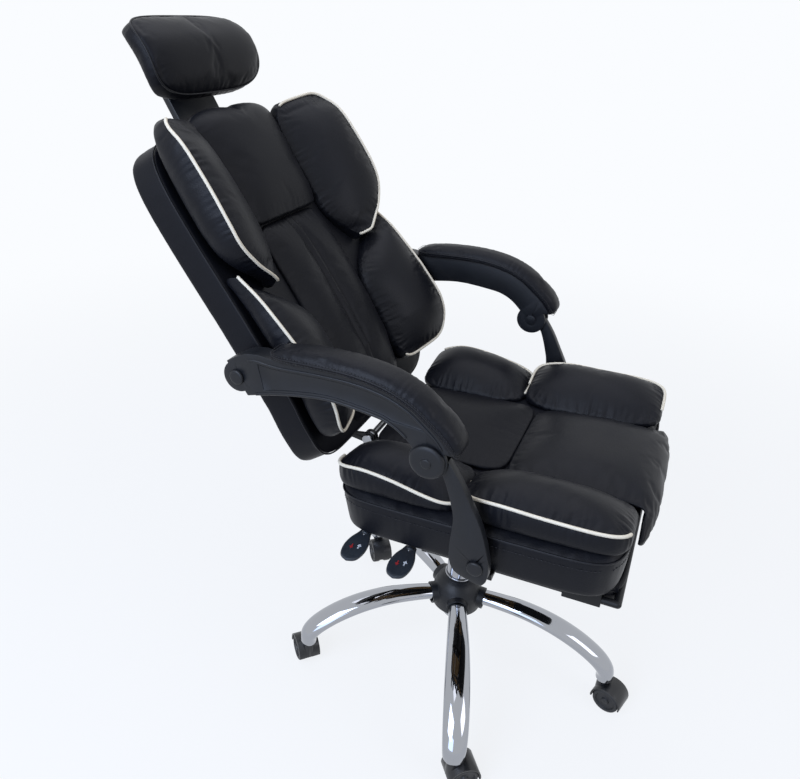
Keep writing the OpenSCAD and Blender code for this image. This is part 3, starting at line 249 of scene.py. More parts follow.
def swept(
    name: str,
    path: Array,
    radii: float | Sequence[float] | Array,
    finish: Finish,
    across: Sequence[float] = (0, 0, 1),
    sides: int = 10,
) -> Piece:
    """Sweeps an ellipse along a path, with rounded ends.

    Args:
        name: name of the piece.
        path: points in metres.
        radii: half widths along the two directions across the path, in millimetres: one for both, a pair,
            or a pair for each point.
        finish: what it is made of.
        across: rough direction of the first half width.
        sides: points round the ellipse.

    Returns:
        The new object.
    """
    radii = np.broadcast_to(np.asarray(radii, float) * MM, (len(path), 2))
    a, b = frames_along(path, np.asarray(across, float))
    tangent = unit(np.gradient(path, axis=0))
    caps = []
    for end, sign, turns in ((0, -1, (1.1, 0.6)), (-1, 1, (0.6, 1.1))):
        out = sign * tangent[end] * radii[end].mean() * 0.6
        size = radii[end]
        caps.append([(path[end] + out * math.sin(q), size * math.cos(q), a[end], b[end]) for q in turns])
    rings = [*caps[0], *zip(path, radii, a, b), *caps[1]]
    turn = np.linspace(0, 2 * math.pi, sides, endpoint=False)
    points = np.array(
        [[p + s * r[0] * math.cos(q) + t * r[1] * math.sin(q) for q in turn] for p, r, s, t in rings]
    )
    return make_mesh(name, points, tube_faces(len(rings), sides), finish)


def stitches(name: str, path: Array, normals: Array, pitch: float) -> Piece:
    """Lays a row of thread stitches along a path.

    Args:
        name: name of the piece.
        path: points on the surface, in metres.
        normals: the surface's normal at each point.
        pitch: distance from one stitch to the next, in millimetres.

    Returns:
        One object with all stitches.
    """
    both = even(np.concatenate([path, normals * 0.01], axis=1), 1.0)
    along = distances(both[:, :3])
    thread, length, sides = 0.5 * MM, pitch * 0.74 * MM, 6
    # Share of the stitch's length, thickness and rise of each ring
    rings = ((0, 0.5, -0.2), (0.25, 1, 0.5), (0.75, 1, 0.5), (1, 0.5, -0.2))
    points, faces = [], []
    for k in range(int(along[-1] / (pitch * MM))):
        middle = (k + 0.5) * pitch * MM
        at = [middle - length / 2, middle + length / 2]
        start, end = np.stack([np.interp(at, along, both[:, c]) for c in range(6)], axis=1)
        up = unit(start[3:] + end[3:])
        side = np.cross(unit(end[:3] - start[:3]), up)
        faces += tube_faces(len(rings), sides, len(points))
        for share, size, rise in rings:
            centre = mix(start[:3], end[:3], share) + up * rise * thread
            for q in range(sides):
                turn = 2 * math.pi * q / sides
                points.append(centre + (side * math.cos(turn) + up * math.sin(turn)) * thread * size)
    return make_mesh(name, np.array(points), faces, THREAD)


class PaddedForm:
    """A closed form of quads: a top sheet, a side band and an under sheet that share one rim."""

    def __init__(
        self, top: Sheet, under: Sheet, band: Sequence[tuple[float, float]], columns: int, rows: int
    ) -> None:
        """Works out the points.

        Args:
            top: local point of the top sheet at u across and v along, each from -1 to 1.
            under: the same for the under sheet.
            band: for each row of the side band, its share of the way down and its bulge outwards.
            columns: cells across.
            rows: cells along.
        """
        self.columns, self.rows = columns, rows
        u, v = np.meshgrid(np.linspace(-1, 1, columns + 1), np.linspace(-1, 1, rows + 1), indexing="ij")
        upper, lower = top(u, v), under(u, v)
        rim = self.loop(0)
        inner = np.array(
            [self.cell(min(max(i, 1), columns - 1), min(max(j, 1), rows - 1)) for i, j in self.rim_cells(0)]
        )
        flat_top, flat_under = upper.reshape(-1, 3), lower.reshape(-1, 3)
        outward = unit(flat_top[rim] - flat_top[inner])
        bands = [mix(flat_top[rim], flat_under[rim], share) + outward * bulge for share, bulge in band]
        self.points = np.concatenate([flat_top, flat_under, *bands])
        self.sheet = len(flat_top)
        self.bands = len(bands)

    def cell(self, i: int, j: int) -> int:
        """Returns the number of a point of the top sheet."""
        return i * (self.rows + 1) + j

    def rim_cells(self, inset: int) -> list[tuple[int, int]]:
        """Returns the loop of grid places that lies inset cells inside the rim."""
        i0, i1, j0, j1 = inset, self.columns - inset, inset, self.rows - inset
        return (
            [(i, j0) for i in range(i0, i1)]
            + [(i1, j) for j in range(j0, j1)]
            + [(i, j1) for i in range(i1, i0, -1)]
            + [(i0, j) for j in range(j1, j0, -1)]
        )

    def loop(self, inset: int) -> Array:
        """Returns the numbers of the points on a loop of the top sheet."""
        return np.array([self.cell(i, j) for i, j in self.rim_cells(inset)])

    def faces(self) -> list[tuple[int, ...]]:
        """Returns the faces of both sheets and of the band between them."""
        cells = [
            (self.cell(i, j), self.cell(i + 1, j), self.cell(i + 1, j + 1), self.cell(i, j + 1))
            for i in range(self.columns)
            for j in range(self.rows)
        ]
        made = cells + [tuple(self.sheet + k for k in reversed(c)) for c in cells]
        rim = self.loop(0)
        rows = [rim, *(self.band_row(k) for k in range(self.bands)), rim + self.sheet]
        for a, b in zip(rows, rows[1:]):
            made += between(a, b)
        return [tuple(int(k) for k in f) for f in made]

    def band_row(self, k: int) -> Array:
        """Returns the numbers of the points on one row of the side band."""
        count = len(self.loop(0))
        return 2 * self.sheet + k * count + np.arange(count)

    def band(self) -> Array:
        """Returns the numbers of all points of the side band."""
        return np.concatenate([self.band_row(k) for k in range(self.bands)])

    def held(self) -> Array:
        """Returns the points that stay put while the cover swells: the seam and the under sheet."""
        return np.concatenate([self.loop(0), self.sheet + np.arange(self.sheet)])


@dataclass(frozen=True)
class Stuffing:
    """How a cover is blown up over its filling."""

    pressure: float
    slack: float  # how much larger the cover is cut than the space that it fills
    cap: float  # how far a point may move
    frames: int = 20

    def fill(self, piece: Piece, held: Array) -> None:
        """Swells the piece as cloth and keeps the result in its mesh.

        Args:
            piece: the closed cover.
            held: numbers of the points that are sewn down.
        """
        scene = bpy.context.scene
        group = piece.vertex_groups.new(name="sewn")
        group.add([int(k) for k in held], 1.0, "REPLACE")
        cloth = piece.modifiers.new("Cover", "CLOTH")
        settings = cloth.settings
        settings.quality = 4
        settings.mass = 0.25
        settings.tension_stiffness = settings.compression_stiffness = 12
        settings.shear_stiffness = 6
        settings.bending_stiffness = 0.35
        settings.use_pressure = True
        settings.uniform_pressure_force = self.pressure
        settings.vertex_group_mass = group.name
        settings.shrink_min = -self.slack
        settings.effector_weights.gravity = 0
        cloth.collision_settings.use_collision = False
        cloth.point_cache.frame_end = self.frames + 1
        before, _ = positions(piece)
        for frame in range(1, self.frames + 1):
            scene.frame_set(frame)
        swollen = piece.evaluated_get(bpy.context.evaluated_depsgraph_get()).to_mesh()
        after = np.empty(len(before) * 3)
        swollen.vertices.foreach_get("co", after)
        piece.to_mesh_clear()
        move = after.reshape(-1, 3) - before
        far = np.linalg.norm(move, axis=1, keepdims=True)
        move *= np.minimum(1, self.cap * MM / np.maximum(far, 1e-9))
        piece.modifiers.remove(cloth)
        piece.data.vertices.foreach_set("co", (before + move).ravel())
        piece.data.update()
        scene.frame_set(1)


# Finishes


def linear(colour: str) -> tuple[float, float, float, float]:
    """Returns an sRGB hex colour as linear red, green, blue and alpha."""
    parts = [int(colour[k : k + 2], 16) / 255 for k in (1, 3, 5)]
    return (*(c / 12.92 if c <= 0.04045 else ((c + 0.055) / 1.055) ** 2.4 for c in parts), 1.0)


def per_mm(size: float) -> float:
    """Returns a texture's scale at which one of its cells measures size in millimetres."""
    return 1 / (size * MM)


def add_node(
    tree: bpy.types.NodeTree, kind: str, settings: dict | None = None, links: dict | None = None
) -> bpy.types.Node:
    """Adds a node.

    Args:
        tree: the material's or world's nodes.
        kind: Blender's name of the node.
        settings: values of its sockets and attributes, by name.
        links: for each socket that is fed, the socket that feeds it.

    Returns:
        The new node.
    """
    node = tree.nodes.new(kind)
    for key, value in (settings or {}).items():
        if key in node.inputs:
            node.inputs[key].default_value = value
        else:
            setattr(node, key, value)
    for key, socket in (links or {}).items():
        tree.links.new(socket, node.inputs[key])
    return node


@dataclass(frozen=True)
class Finish:
    """A surface: its colour, its gloss, and the relief that its making leaves."""

    name: str
    colour: str
    shade: str  # colour that it varies towards
    roughness: float
    metallic: float = 0.0
    ior: float = 1.5
    specular: float = 0.5
    sheen: float = 0.0
    coat: float = 0.0
    patch: float = 60.0  # size of the colour's variation
    patch_share: float = 0.35
    grain: float = 1.0  # size of the relief's cells
    grain_depth: float = 0.1
    ripple: float = 30.0  # size of the soft waviness under the grain
    ripple_depth: float = 0.0
    rough_spread: float = 0.06

    @property
    def material(self) -> bpy.types.Material:
        """The material of this finish, made once."""
        return bpy.data.materials.get(self.name) or self.make()

    def relief(self, tree: bpy.types.NodeTree, where: bpy.types.NodeSocket) -> bpy.types.NodeSocket:
        """Returns the height of the fine relief: a pebble of cells with soft walls."""
        settings = {"feature": "SMOOTH_F1", "Scale": per_mm(self.grain), "Smoothness": 0.6}
        return add_node(tree, "ShaderNodeTexVoronoi", settings, {"Vector": where}).outputs["Distance"]

    def make(self) -> bpy.types.Material:
        """Makes the material."""
        material = bpy.data.materials.new(self.name)
        material.use_nodes = True
        material.diffuse_color = linear(self.colour)
        tree = material.node_tree
        surface = tree.nodes["Principled BSDF"]
        values = {
            "Metallic": self.metallic,
            "IOR": self.ior,
            "Specular IOR Level": self.specular,
            "Coat Weight": self.coat,
            "Coat Roughness": 0.35,
            "Sheen Weight": self.sheen,
            "Sheen Roughness": 0.5,
        }
        for key, value in values.items():
            surface.inputs[key].default_value = value
        where = add_node(tree, "ShaderNodeTexCoord").outputs["Object"]
        noise = {"Scale": per_mm(self.patch), "Detail": 4.0, "Roughness": 0.6}
        patches = add_node(tree, "ShaderNodeTexNoise", noise, {"Vector": where}).outputs["Fac"]
        span = {"From Min": 0.35, "From Max": 0.7, "To Min": 0.0, "To Max": self.patch_share}
        spread = add_node(tree, "ShaderNodeMapRange", span, {"Value": patches})
        blend = add_node(tree, "ShaderNodeMix", {"data_type": "RGBA"}, {0: spread.outputs["Result"]})
        blend.inputs[6].default_value = linear(self.colour)
        blend.inputs[7].default_value = linear(self.shade)
        tree.links.new(blend.outputs[2], surface.inputs["Base Color"])
        low, high = max(0.02, self.roughness - self.rough_spread), self.roughness + self.rough_spread
        span = {"From Min": 0.3, "From Max": 0.7, "To Min": low, "To Max": high}
        rough = add_node(tree, "ShaderNodeMapRange", span, {"Value": patches})
        tree.links.new(rough.outputs["Result"], surface.inputs["Roughness"])
        normal = None
        if self.ripple_depth:
            noise = {"Scale": per_mm(self.ripple), "Detail": 2.0, "Roughness": 0.5}
            waves = add_node(tree, "ShaderNodeTexNoise", noise, {"Vector": where})
            depth = {"Strength": 1.0, "Distance": self.ripple_depth * MM}
            normal = add_node(tree, "ShaderNodeBump", depth, {"Height": waves.outputs["Fac"]})
        if self.grain_depth:
            depth = {"Strength": 1.0, "Distance": self.grain_depth * MM}
            bump = add_node(tree, "ShaderNodeBump", depth, {"Height": self.relief(tree, where)})
            if normal:
                tree.links.new(normal.outputs["Normal"], bump.inputs["Normal"])
            normal = bump
        if normal:
            tree.links.new(normal.outputs["Normal"], surface.inputs["Normal"])
        return material


@dataclass(frozen=True)
class BrushedFinish(Finish):
    """A surface with fine drawn or sprayed relief in place of pebbles."""

    def relief(self, tree: bpy.types.NodeTree, where: bpy.types.NodeSocket) -> bpy.types.NodeSocket:
        """Returns the height of a fine random relief."""
        noise = {"Scale": per_mm(self.grain), "Detail": 2.0}
        return add_node(tree, "ShaderNodeTexNoise", noise, {"Vector": where}).outputs["Fac"]


@dataclass(frozen=True)
class PlyFinish(Finish):
    """Pressed birch ply, with grain that runs along Y."""

    def relief(self, tree: bpy.types.NodeTree, where: bpy.types.NodeSocket) -> bpy.types.NodeSocket:
        """Returns the height of the wood's long pores."""
        drawn = add_node(tree, "ShaderNodeMapping", {"Scale": (1.0, 0.06, 1.0)}, {"Vector": where})
        noise = {"Scale": per_mm(self.grain), "Detail": 3.0}
        return add_node(tree, "ShaderNodeTexNoise", noise, {"Vector": drawn.outputs["Vector"]}).outputs["Fac"]


# Polyurethane-coated fabric with an embossed pebble. The real pebble is about 1 mm, too fine for a
# render of the whole chair, so it is drawn at 2.2 mm. The coat gives its broad, soft highlights.
LEATHER = Finish(
    "coated_leather", "#101116", "#16181e", 0.42, specular=0.14, coat=0.02,
    patch=90, grain=2.2, grain_depth=0.14, ripple=34, ripple_depth=0.25,
)
# The same cover, pulled tight over firm boxed padding: flatter, so with less ripple
TIGHT_LEATHER = Finish(
    "coated_leather_tight", "#0f1015", "#15161b", 0.45, specular=0.12, coat=0.015,
    patch=120, grain=2.2, grain_depth=0.12, ripple=60, ripple_depth=0.15,
)
# Cream piping: a coated strip sewn round a cord, semi-matt
PIPING = Finish("cream_piping", "#f2e8d2", "#e6dac2", 0.5, patch=25, grain=1.6, grain_depth=0.08)
# Welt of the boxed pads: the same black cover round a thin cord, a little polished by wear
WELT = Finish(
    "black_welt", "#121318", "#1c1d22", 0.42, specular=0.2, coat=0.03,
    patch=30, grain=1.8, grain_depth=0.08,
)
# Bonded polyester thread, which shines a little more than the cover
THREAD = BrushedFinish(
    "black_thread", "#1a1b20", "#222328", 0.55, specular=0.3, sheen=0.05, grain=0.4, grain_depth=0.03,
)
# Glass-filled nylon out of a spark-eroded mould: dark grey, with a fine even texture
NYLON = BrushedFinish(
    "textured_nylon", "#15171b", "#1d1f24", 0.4, specular=0.3, patch=40, grain=0.9, grain_depth=0.05,
)
# Hooded caster nylon, injection moulded and nearly smooth
CASTER_NYLON = BrushedFinish("satin_nylon", "#121316", "#1b1c20", 0.34, patch=30, grain=1.0, grain_depth=0.02)
# Polyurethane tread of the wheels, duller than the hood
TREAD = BrushedFinish("wheel_tread", "#17181b", "#222327", 0.55, patch=20, grain=0.9, grain_depth=0.05)
# ABS of the lever grips, grey with a blue cast, lightly textured
LEVER_ABS = BrushedFinish(
    "lever_abs", "#2a3037", "#343b43", 0.42, specular=0.35, patch=25, grain=0.8, grain_depth=0.04,
)
# Pad-printed marks on the grips
RED_INK = BrushedFinish("red_ink", "#a8262b", "#b4383a", 0.5, grain=0.8, grain_depth=0.0)
WHITE_INK = BrushedFinish("white_ink", "#d9dde0", "#c8ccd0", 0.5, grain=0.8, grain_depth=0.0)
# Bright chrome plate over polished steel tube
CHROME = BrushedFinish(
    "chrome_plate", "#a6a8ad", "#9a9da3", 0.06, metallic=1.0,
    patch=120, grain=5, grain_depth=0.01, rough_spread=0.02,
)
# Powder coat on pressed steel: a faint orange peel
POWDER = BrushedFinish(
    "black_powder_coat", "#111215", "#18191c", 0.42, specular=0.25, patch=50, grain=2.0, grain_depth=0.05,
)
# Ground or zinc-plated steel of pins, bolts and races
STEEL = BrushedFinish(
    "ground_steel", "#9a9ca0", "#86888d", 0.32, metallic=1.0, patch=15, grain=0.6, grain_depth=0.02,
)
# Birch ply, pressed and sanded
PLY = PlyFinish("birch_ply", "#b08d5e", "#8e6c44", 0.62, patch=30, grain=1.2, grain_depth=0.1)


def dress(node: str, finish: Finish, bevel: float = 0.0) -> None:
    """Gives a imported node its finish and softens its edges.

    Args:
        node: the node's name.
        finish: its surface.
        bevel: width of the rounding on its sharp edges, in millimetres, or 0 for none.
    """
    piece = bpy.data.objects[node]
    mesh = piece.data
    mesh.materials.clear()
    mesh.materials.append(finish.material)
    if "custom_normal" in mesh.attributes:
        mesh.attributes.remove(mesh.attributes["custom_normal"])
    mesh.shade_smooth()
    add_modifier(piece, "WELD", merge_threshold=0.02 * MM)
    if bevel:
        limit = {"limit_method": "ANGLE", "angle_limit": math.radians(32)}
        add_modifier(piece, "BEVEL", width=bevel * MM, segments=2, harden_normals=False, **limit)
    add_modifier(piece, "EDGE_SPLIT", split_angle=math.radians(40))
    LOG.info("dressed %s in %s", node, finish.name)


def place(piece: Piece, body: str, slot: str, *nodes: str, fill: float | None = None) -> Piece:
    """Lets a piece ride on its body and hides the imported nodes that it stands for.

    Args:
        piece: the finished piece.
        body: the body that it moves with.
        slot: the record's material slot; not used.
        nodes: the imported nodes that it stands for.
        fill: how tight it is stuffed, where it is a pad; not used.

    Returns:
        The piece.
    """
    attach(piece, body)
    if nodes:
        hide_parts(*nodes)
    LOG.info("piece %s on %s", piece.name, body)
    return piece


# Upholstery


def refined(piece: Piece) -> None:
    """Keeps one subdivision in the piece's mesh."""
    add_modifier(piece, "SUBSURF", levels=1, render_levels=1)
    bpy.context.view_layer.update()
    finer = bpy.data.meshes.new_from_object(piece.evaluated_get(bpy.context.evaluated_depsgraph_get()))
    piece.modifiers.clear()
    piece.data = finer
    finer.name = piece.name
    finer.shade_smooth()


MIRROR = Matrix.Scale(-1, 4, Vector((1, 0, 0)))


def twin(piece: Piece, name: str) -> Piece:
    """Returns a copy of the piece, mirrored to the sitter's other side."""
    mesh = piece.data.copy()
    mesh.transform(MIRROR)
    mesh.flip_normals()
    mesh.name = name
    return add_object(name, mesh)


@dataclass(frozen=True)
class Gather:
    """Small folds that a seam draws into the cover beside it."""

    depth: float
    pitch: float
    reach: float  # distance from the seam at which the folds are deepest

    def wave(self, along: Array) -> Array:
        """Returns the folds' height along the seam: uneven, as hand-guided sewing leaves them."""
        turn = 2 * math.pi * along / self.pitch
        slow = 0.6 + 0.4 * np.sin(turn * 0.137 + 1.3)
        return slow * (np.sin(turn + 1.7 * np.sin(turn * 0.23)) + 0.45 * np.sin(turn * 1.83 + 0.9))

    def draw_in(self, piece: Piece, seam: Array) -> None:
        """Moves the cover beside the seam in and out.

        Args:
            piece: the padded piece.
            seam: points along the seam, in metres.
        """
        points, normals = positions(piece)
        fine = even(seam, 2)
        along = distances(fine) / MM
        nearest = np.empty(len(points), int)
        gap = np.empty(len(points))
        for start in range(0, len(points), 2000):
            some = slice(start, start + 2000)
            far = np.linalg.norm(points[some, None, :] - fine[None, :, :], axis=2)
            nearest[some] = far.argmin(axis=1)
            gap[some] = far.min(axis=1) / MM
        share = gap / self.reach
        lift = self.depth * share * np.exp(1 - share) * self.wave(along[nearest]) * (gap < 6 * self.reach)
        moved = points + normals * (lift * MM)[:, None]
        piece.data.vertices.foreach_set("co", moved.ravel())
        piece.data.update()


WING_STUFFING = Stuffing(3.5, 0.008, 9)
WING_GATHER = Gather(0.7, 13, 7)


@dataclass
class Cushion:
    """A padded piece: its cut, how it is stuffed and how its seams draw in."""

    name: str
    form: PaddedForm
    at: Placing
    finish: Finish
    stuffing: Stuffing
    gather: Gather
    also_held: Sequence[int] = ()
    seam_normals: Array | None = None

    def seam(self) -> Array:
        """Returns the whole seam as a closed line of points in metres."""
        loop = self.at.world(self.form.points[self.form.loop(0)])
        return np.concatenate([loop, loop[:1]])

    def normals(self) -> Array:
        """Returns the cover's normals at the points of the seam."""
        return np.concatenate([self.seam_normals, self.seam_normals[:1]])

    def welt(
        self, name: str, lift: float, step: float, radius: float, across: Sequence[float] = (0, 0, 1)
    ) -> Piece:
        """Sews a welt along the whole seam.

        Args:
            name: name of the welt's piece.
            lift: how far its middle lies outside the seam, in millimetres.
            step: length of its cells, in millimetres.
            radius: the welt's radius, in millimetres.
            across: where its first row of points faces.

        Returns:
            The welt's piece.
        """
        return swept(name, even(self.seam() + self.normals() * lift * MM, step), radius, WELT, across, 8)

    def seam_part(self, first: float, last: float, lift: float) -> tuple[Array, Array]:
        """Returns part of the seam and its normals.

        Args:
            first: u on the edge v = -1 where it starts.
            last: u on the edge v = +1 where it ends, after running along the edge u = +1.
            lift: how far it lies proud of the cover, in millimetres.

        Returns:
            Points and normals, in metres.
        """
        c, r = self.form.columns, self.form.rows
        start, end = c * (first + 1) / 2, c + r + c * (1 - last) / 2
        loop = self.at.world(self.form.points[self.form.loop(0)])
        where = np.arange(math.ceil(start), math.floor(end) + 1) % len(loop)
        normals = self.seam_normals[where]
        return loop[where] + normals * lift * MM, normals

    def make(self) -> Piece:
        """Sews, stuffs and gathers the piece."""
        piece = make_mesh(self.name, self.at.world(self.form.points), self.form.faces(), self.finish)
        _, normals = positions(piece)
        self.seam_normals = normals[self.form.loop(0)]
        held = np.concatenate([self.form.held(), np.asarray(self.also_held, int)])
        self.stuffing.fill(piece, held)
        refined(piece)
        self.gather.draw_in(piece, self.seam())
        return piece


def rounded(u: Array, v: Array, power: float) -> tuple[Array, Array]:
    """Maps the square of u and v onto a superellipse, so that an outline has round corners."""
    return (
        u * (1 - 0.5 * np.abs(v) ** power) ** (1 / power),
        v * (1 - 0.5 * np.abs(u) ** power) ** (1 / power),
    )


def round_edge() -> tuple[Array, Array]:
    """Returns u and v of points all round the edge of a sheet, for a line that follows its outline."""
    turn = np.linspace(0, 2 * math.pi, 161)
    return np.clip(np.cos(turn) * 1.5, -1, 1), np.clip(np.sin(turn) * 1.5, -1, 1)


def place_piped_pair(
    wing: Cushion, ends: Sequence[tuple[float, float]], body: str, slot: str, node: str
) -> None:
    """Makes a side cushion and its mirrored twin, each with its piping.

    Args:
        wing: the cushion on the sitter's left.
        ends: where the piping starts and ends, as in Cushion.seam_part, on the left and on the right.
        body: the body that they move with.
        slot: the record's material slot.
        node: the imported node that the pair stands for.
    """
    piece = wing.make()
    for side, (first, last) in zip(Side, ends):
        shown = piece if side is Side.LEFT else twin(piece, wing.name.replace("left", side.word))
        path, normals = wing.seam_part(first, last, 1.2)
        cord = swept(shown.name.replace("wing", "piping"), even(path, 3.5), 2.6, PIPING, normals[0])
        if side is Side.RIGHT:
            cord.data.transform(MIRROR)
            cord.data.flip_normals()
        place(shown, body, slot, node, fill=0.7)
        place(cord, body, slot)


@dataclass
class Seat:
    """The seat: a boxed pad on its board, two middle cushions and four piped side cushions."""

    width: float = 510
    front_y: float = -290
    rear_y: float = 160
    pad_h: float = 82
    seam_z: float = 65
    middle_w: float = 236
    split_y: float = -84
    wing_split_y: float = -50
    wing_out: float = 251
    gap: float = 2
    rest: float = 0.5  # how far the cushions lie above the pad
    bulge: float = 5  # how far the pad's band may swell within its width
    body: str = "seat"
    slot: str = "black_leather"

    def plan(self, u: Array, v: Array, out: float) -> tuple[Array, Array]:
        """Returns x and y of the pad's outline, moved outwards by out."""
        a, b = rounded(u, v, 9)
        middle = (self.front_y + self.rear_y) / 2
        half = (self.rear_y - self.front_y) / 2
        return (self.width / 2 - self.bulge + out) * a, middle + (half - self.bulge + out) * b

    def build_pad(self) -> None:
        """Makes the boxed pad: its soft upper band, its tight lower band and the welt between them."""

        def top(u: Array, v: Array) -> Array:
            """Returns the upper face, which rises softly from its seam."""
            x, y = self.plan(u, v, 3)
            inside = 1 - np.maximum(np.abs(u), np.abs(v))
            return stack(x, y, self.seam_z + (self.pad_h - self.seam_z) * ease(inside * 6) ** 0.7)

        def under(u: Array, v: Array) -> Array:
            """Returns the flat face on the board."""
            x, y = self.plan(u, v, -4)
            return stack(x, y, 0 * u)

        band = [(0.04, 1.0), (0.2, 2.5), (0.4, 3.0), (0.6, 3.2), (0.8, 3.4), (0.92, 3.0), (0.98, 1.2)]
        form = PaddedForm(top, under, band, 72, 64)
        held = [*(form.cell(i, j) for i in range(10, 63) for j in range(9, 56)), *form.band()]
        stuffing, gather = Stuffing(2.2, 0.008, 8), Gather(0.45, 17, 11)
        pad = Cushion("seat_pad_cover", form, SEAT_AT, LEATHER, stuffing, gather, held)
        place(pad.make(), self.body, self.slot, "seat_base_pad", fill=0.8)
        place(pad.welt("seat_pad_welt", 0.6, 5, 1.7), self.body, self.slot)
        row = SEAT_AT.world(form.points[form.band_row(1)])
        outward = unit(row - row.mean(axis=0))
        place(stitches("seat_pad_stitches", row, outward, 6), self.body, self.slot)

    def build_middle(self) -> None:
        """Makes the flat rear cushion and the puffed front one that falls over the edge."""
        half = self.middle_w / 2 - self.gap / 2
        front_of_rear = self.split_y + self.gap / 2

        def rear_top(u: Array, v: Array) -> Array:
            """Returns the rear cushion's crowned face."""
            a, b = rounded(u, v, 8)
            y = mix(front_of_rear, self.rear_y - 12, (b + 1) / 2)
            return stack(half * a, y, self.pad_h + 8 + 5 * swell(u, 4) * swell(v, 4))

        def rear_under(u: Array, v: Array) -> Array:
            """Returns its face on the pad."""
            p = rear_top(u, v)
            return stack(p[..., 0], p[..., 1], self.pad_h + self.rest + 0 * u)

        form = PaddedForm(rear_top, rear_under, [(0.3, 1.0), (0.7, 1.0)], 40, 42)
        stuffing, gather = Stuffing(2.5, 0.004, 7), Gather(0.3, 16, 8)
        rear = Cushion("seat_rear_cushion", form, SEAT_AT, TIGHT_LEATHER, stuffing, gather)
        place(rear.make(), self.body, self.slot, "seat_rear_panel", fill=0.75)

        # From its rear edge over the seat's front: its outer line, and its line on the pad
        fall = [
            *((0.9, 0.10), (0.72, 0.36), (0.45, 0.50), (0.2, 0.44)),
            *((0.0, 0.22), (-0.095, -0.06), (-0.12, -0.32), (-0.085, -0.56)),
        ]
        inner = [
            *((0.9, 0), (0.7, 0), (0.45, 0), (0.2, 0)),
            *((-0.012, 0), (-0.02, -0.15), (-0.022, -0.35), (-0.022, -0.54)),
        ]
        reach = (self.split_y - self.gap / 2 - self.front_y) / 0.9

        def placed(q: Array) -> tuple[Array, Array]:
            """Returns y and z of points of the two lines."""
            rise = np.where(q[..., 1] > 0, 56, self.pad_h)
            return self.front_y + q[..., 0] * reach, self.pad_h + self.rest + q[..., 1] * rise

        def width(f: Array) -> Array:
            """Returns half the cushion's width, which grows towards its fall."""
            return mix(half, self.width * 0.31, np.clip((f - 0.55) / 0.3, 0, 1))

        def front_top(u: Array, v: Array) -> Array:
            """Returns the front cushion's puffed face."""
            a, b = rounded(u, v, 10)
            f = (b + 1) / 2
            outer, inside = spline(fall, f), spline(inner, f)
            y, z = placed(mix(inside, outer, (0.34 + 0.66 * swell(u, 4))[..., None]))
            return stack(width(f) * a, y, z)

        def front_under(u: Array, v: Array) -> Array:
            """Returns its face on the pad and down the pad's front."""
            a, b = rounded(u, v, 10)
            f = (b + 1) / 2
            y, z = placed(spline(inner, f))
            return stack(width(f) * a, y, np.minimum(z, self.pad_h + self.rest))

        form = PaddedForm(front_top, front_under, [(0.35, 2.0), (0.7, 2.0)], 46, 62)
        stuffing, gather = Stuffing(3.0, 0.008, 9), Gather(0.45, 15, 8)
        front = Cushion("seat_front_cushion", form, SEAT_AT, LEATHER, stuffing, gather)
        place(front.make(), self.body, self.slot, "seat_front_panel", fill=0.6)

    def wing_form(self, y0: float, y1: float, rise: Sequence[float], crown: float) -> PaddedForm:
        """Returns the cut of a side cushion.

        Args:
            y0: its front end.
            y1: its rear end.
            rise: height of its outer seam above the pad, from front to rear.
            crown: how far its middle stands above its seam.

        Returns:
            The form, on the sitter's left.
        """
        x0, x1 = self.middle_w / 2 + self.gap, self.wing_out

        def placed(a: Array, b: Array, z: Array) -> Array:
            """Returns points between the cushion's sides and ends."""
            return stack(mix(x0, x1, (a + 1) / 2), mix(y0, y1, (b + 1) / 2), z)

        def top(u: Array, v: Array) -> Array:
            """Returns the crowned face, which rises to its outer seam."""
            a, b = rounded(u, v, 4.6)
            high = mix(9, row_at(rise, (b + 1) / 2), ((a + 1) / 2) ** 0.9)
            return placed(a, b, self.pad_h + high + crown * swell(u, 2.3) * swell(v, 3.0))

        def under(u: Array, v: Array) -> Array:
            """Returns the face on the pad."""
            a, b = rounded(u * 0.97, v * 0.98, 4.6)
            return placed(a, b, self.pad_h + self.rest + 0 * u)

        return PaddedForm(top, under, [(0.2, 2.5), (0.45, 4.0), (0.7, 4.0), (0.88, 2.5)], 34, 50)

    def build_wings(self) -> None:
        """Makes the four side cushions with their piping."""
        split, rear_end, front_end = self.wing_split_y, self.rear_y - 6, self.front_y + 2
        wings = [
            ("rear", split + self.gap, rear_end, (12, 24, 36, 42, 36), ((-0.55, 0.9), (-0.3, 0.3))),
            ("front", front_end, split - self.gap, (34, 36, 38, 41, 38), ((-0.3, -0.2), (0.7, 0.6))),
        ]
        for word, y0, y1, rise, ends in wings:
            form = self.wing_form(y0, y1, rise, 30)
            wing = Cushion(f"seat_{word}_wing_left", form, SEAT_AT, LEATHER, WING_STUFFING, WING_GATHER)
            place_piped_pair(wing, ends, self.body, self.slot, f"seat_{word}_wings")

    def build(self) -> None:
        """Makes the whole seat."""
        self.build_pad()
        self.build_middle()
        self.build_wings()
        dress("seat_board", PLY, 0.8)


@dataclass(frozen=True)
class WingCut:
    """The cut of one of the back's side cushions; each row runs from its foot to its head."""

    ends: tuple[float, float]  # heights of its foot and its head
    inner: tuple[float, ...]  # x of its inner side
    outer: tuple[float, ...]  # x of its outer side
    edge: tuple[float, ...]  # height of its outer seam above the slab
    rear: tuple[float, ...]  # height of its outer rear edge above the slab
    crown: float = 18  # how far its middle stands above its seam
    tip: float = 0  # how far its outer corner reaches past its head


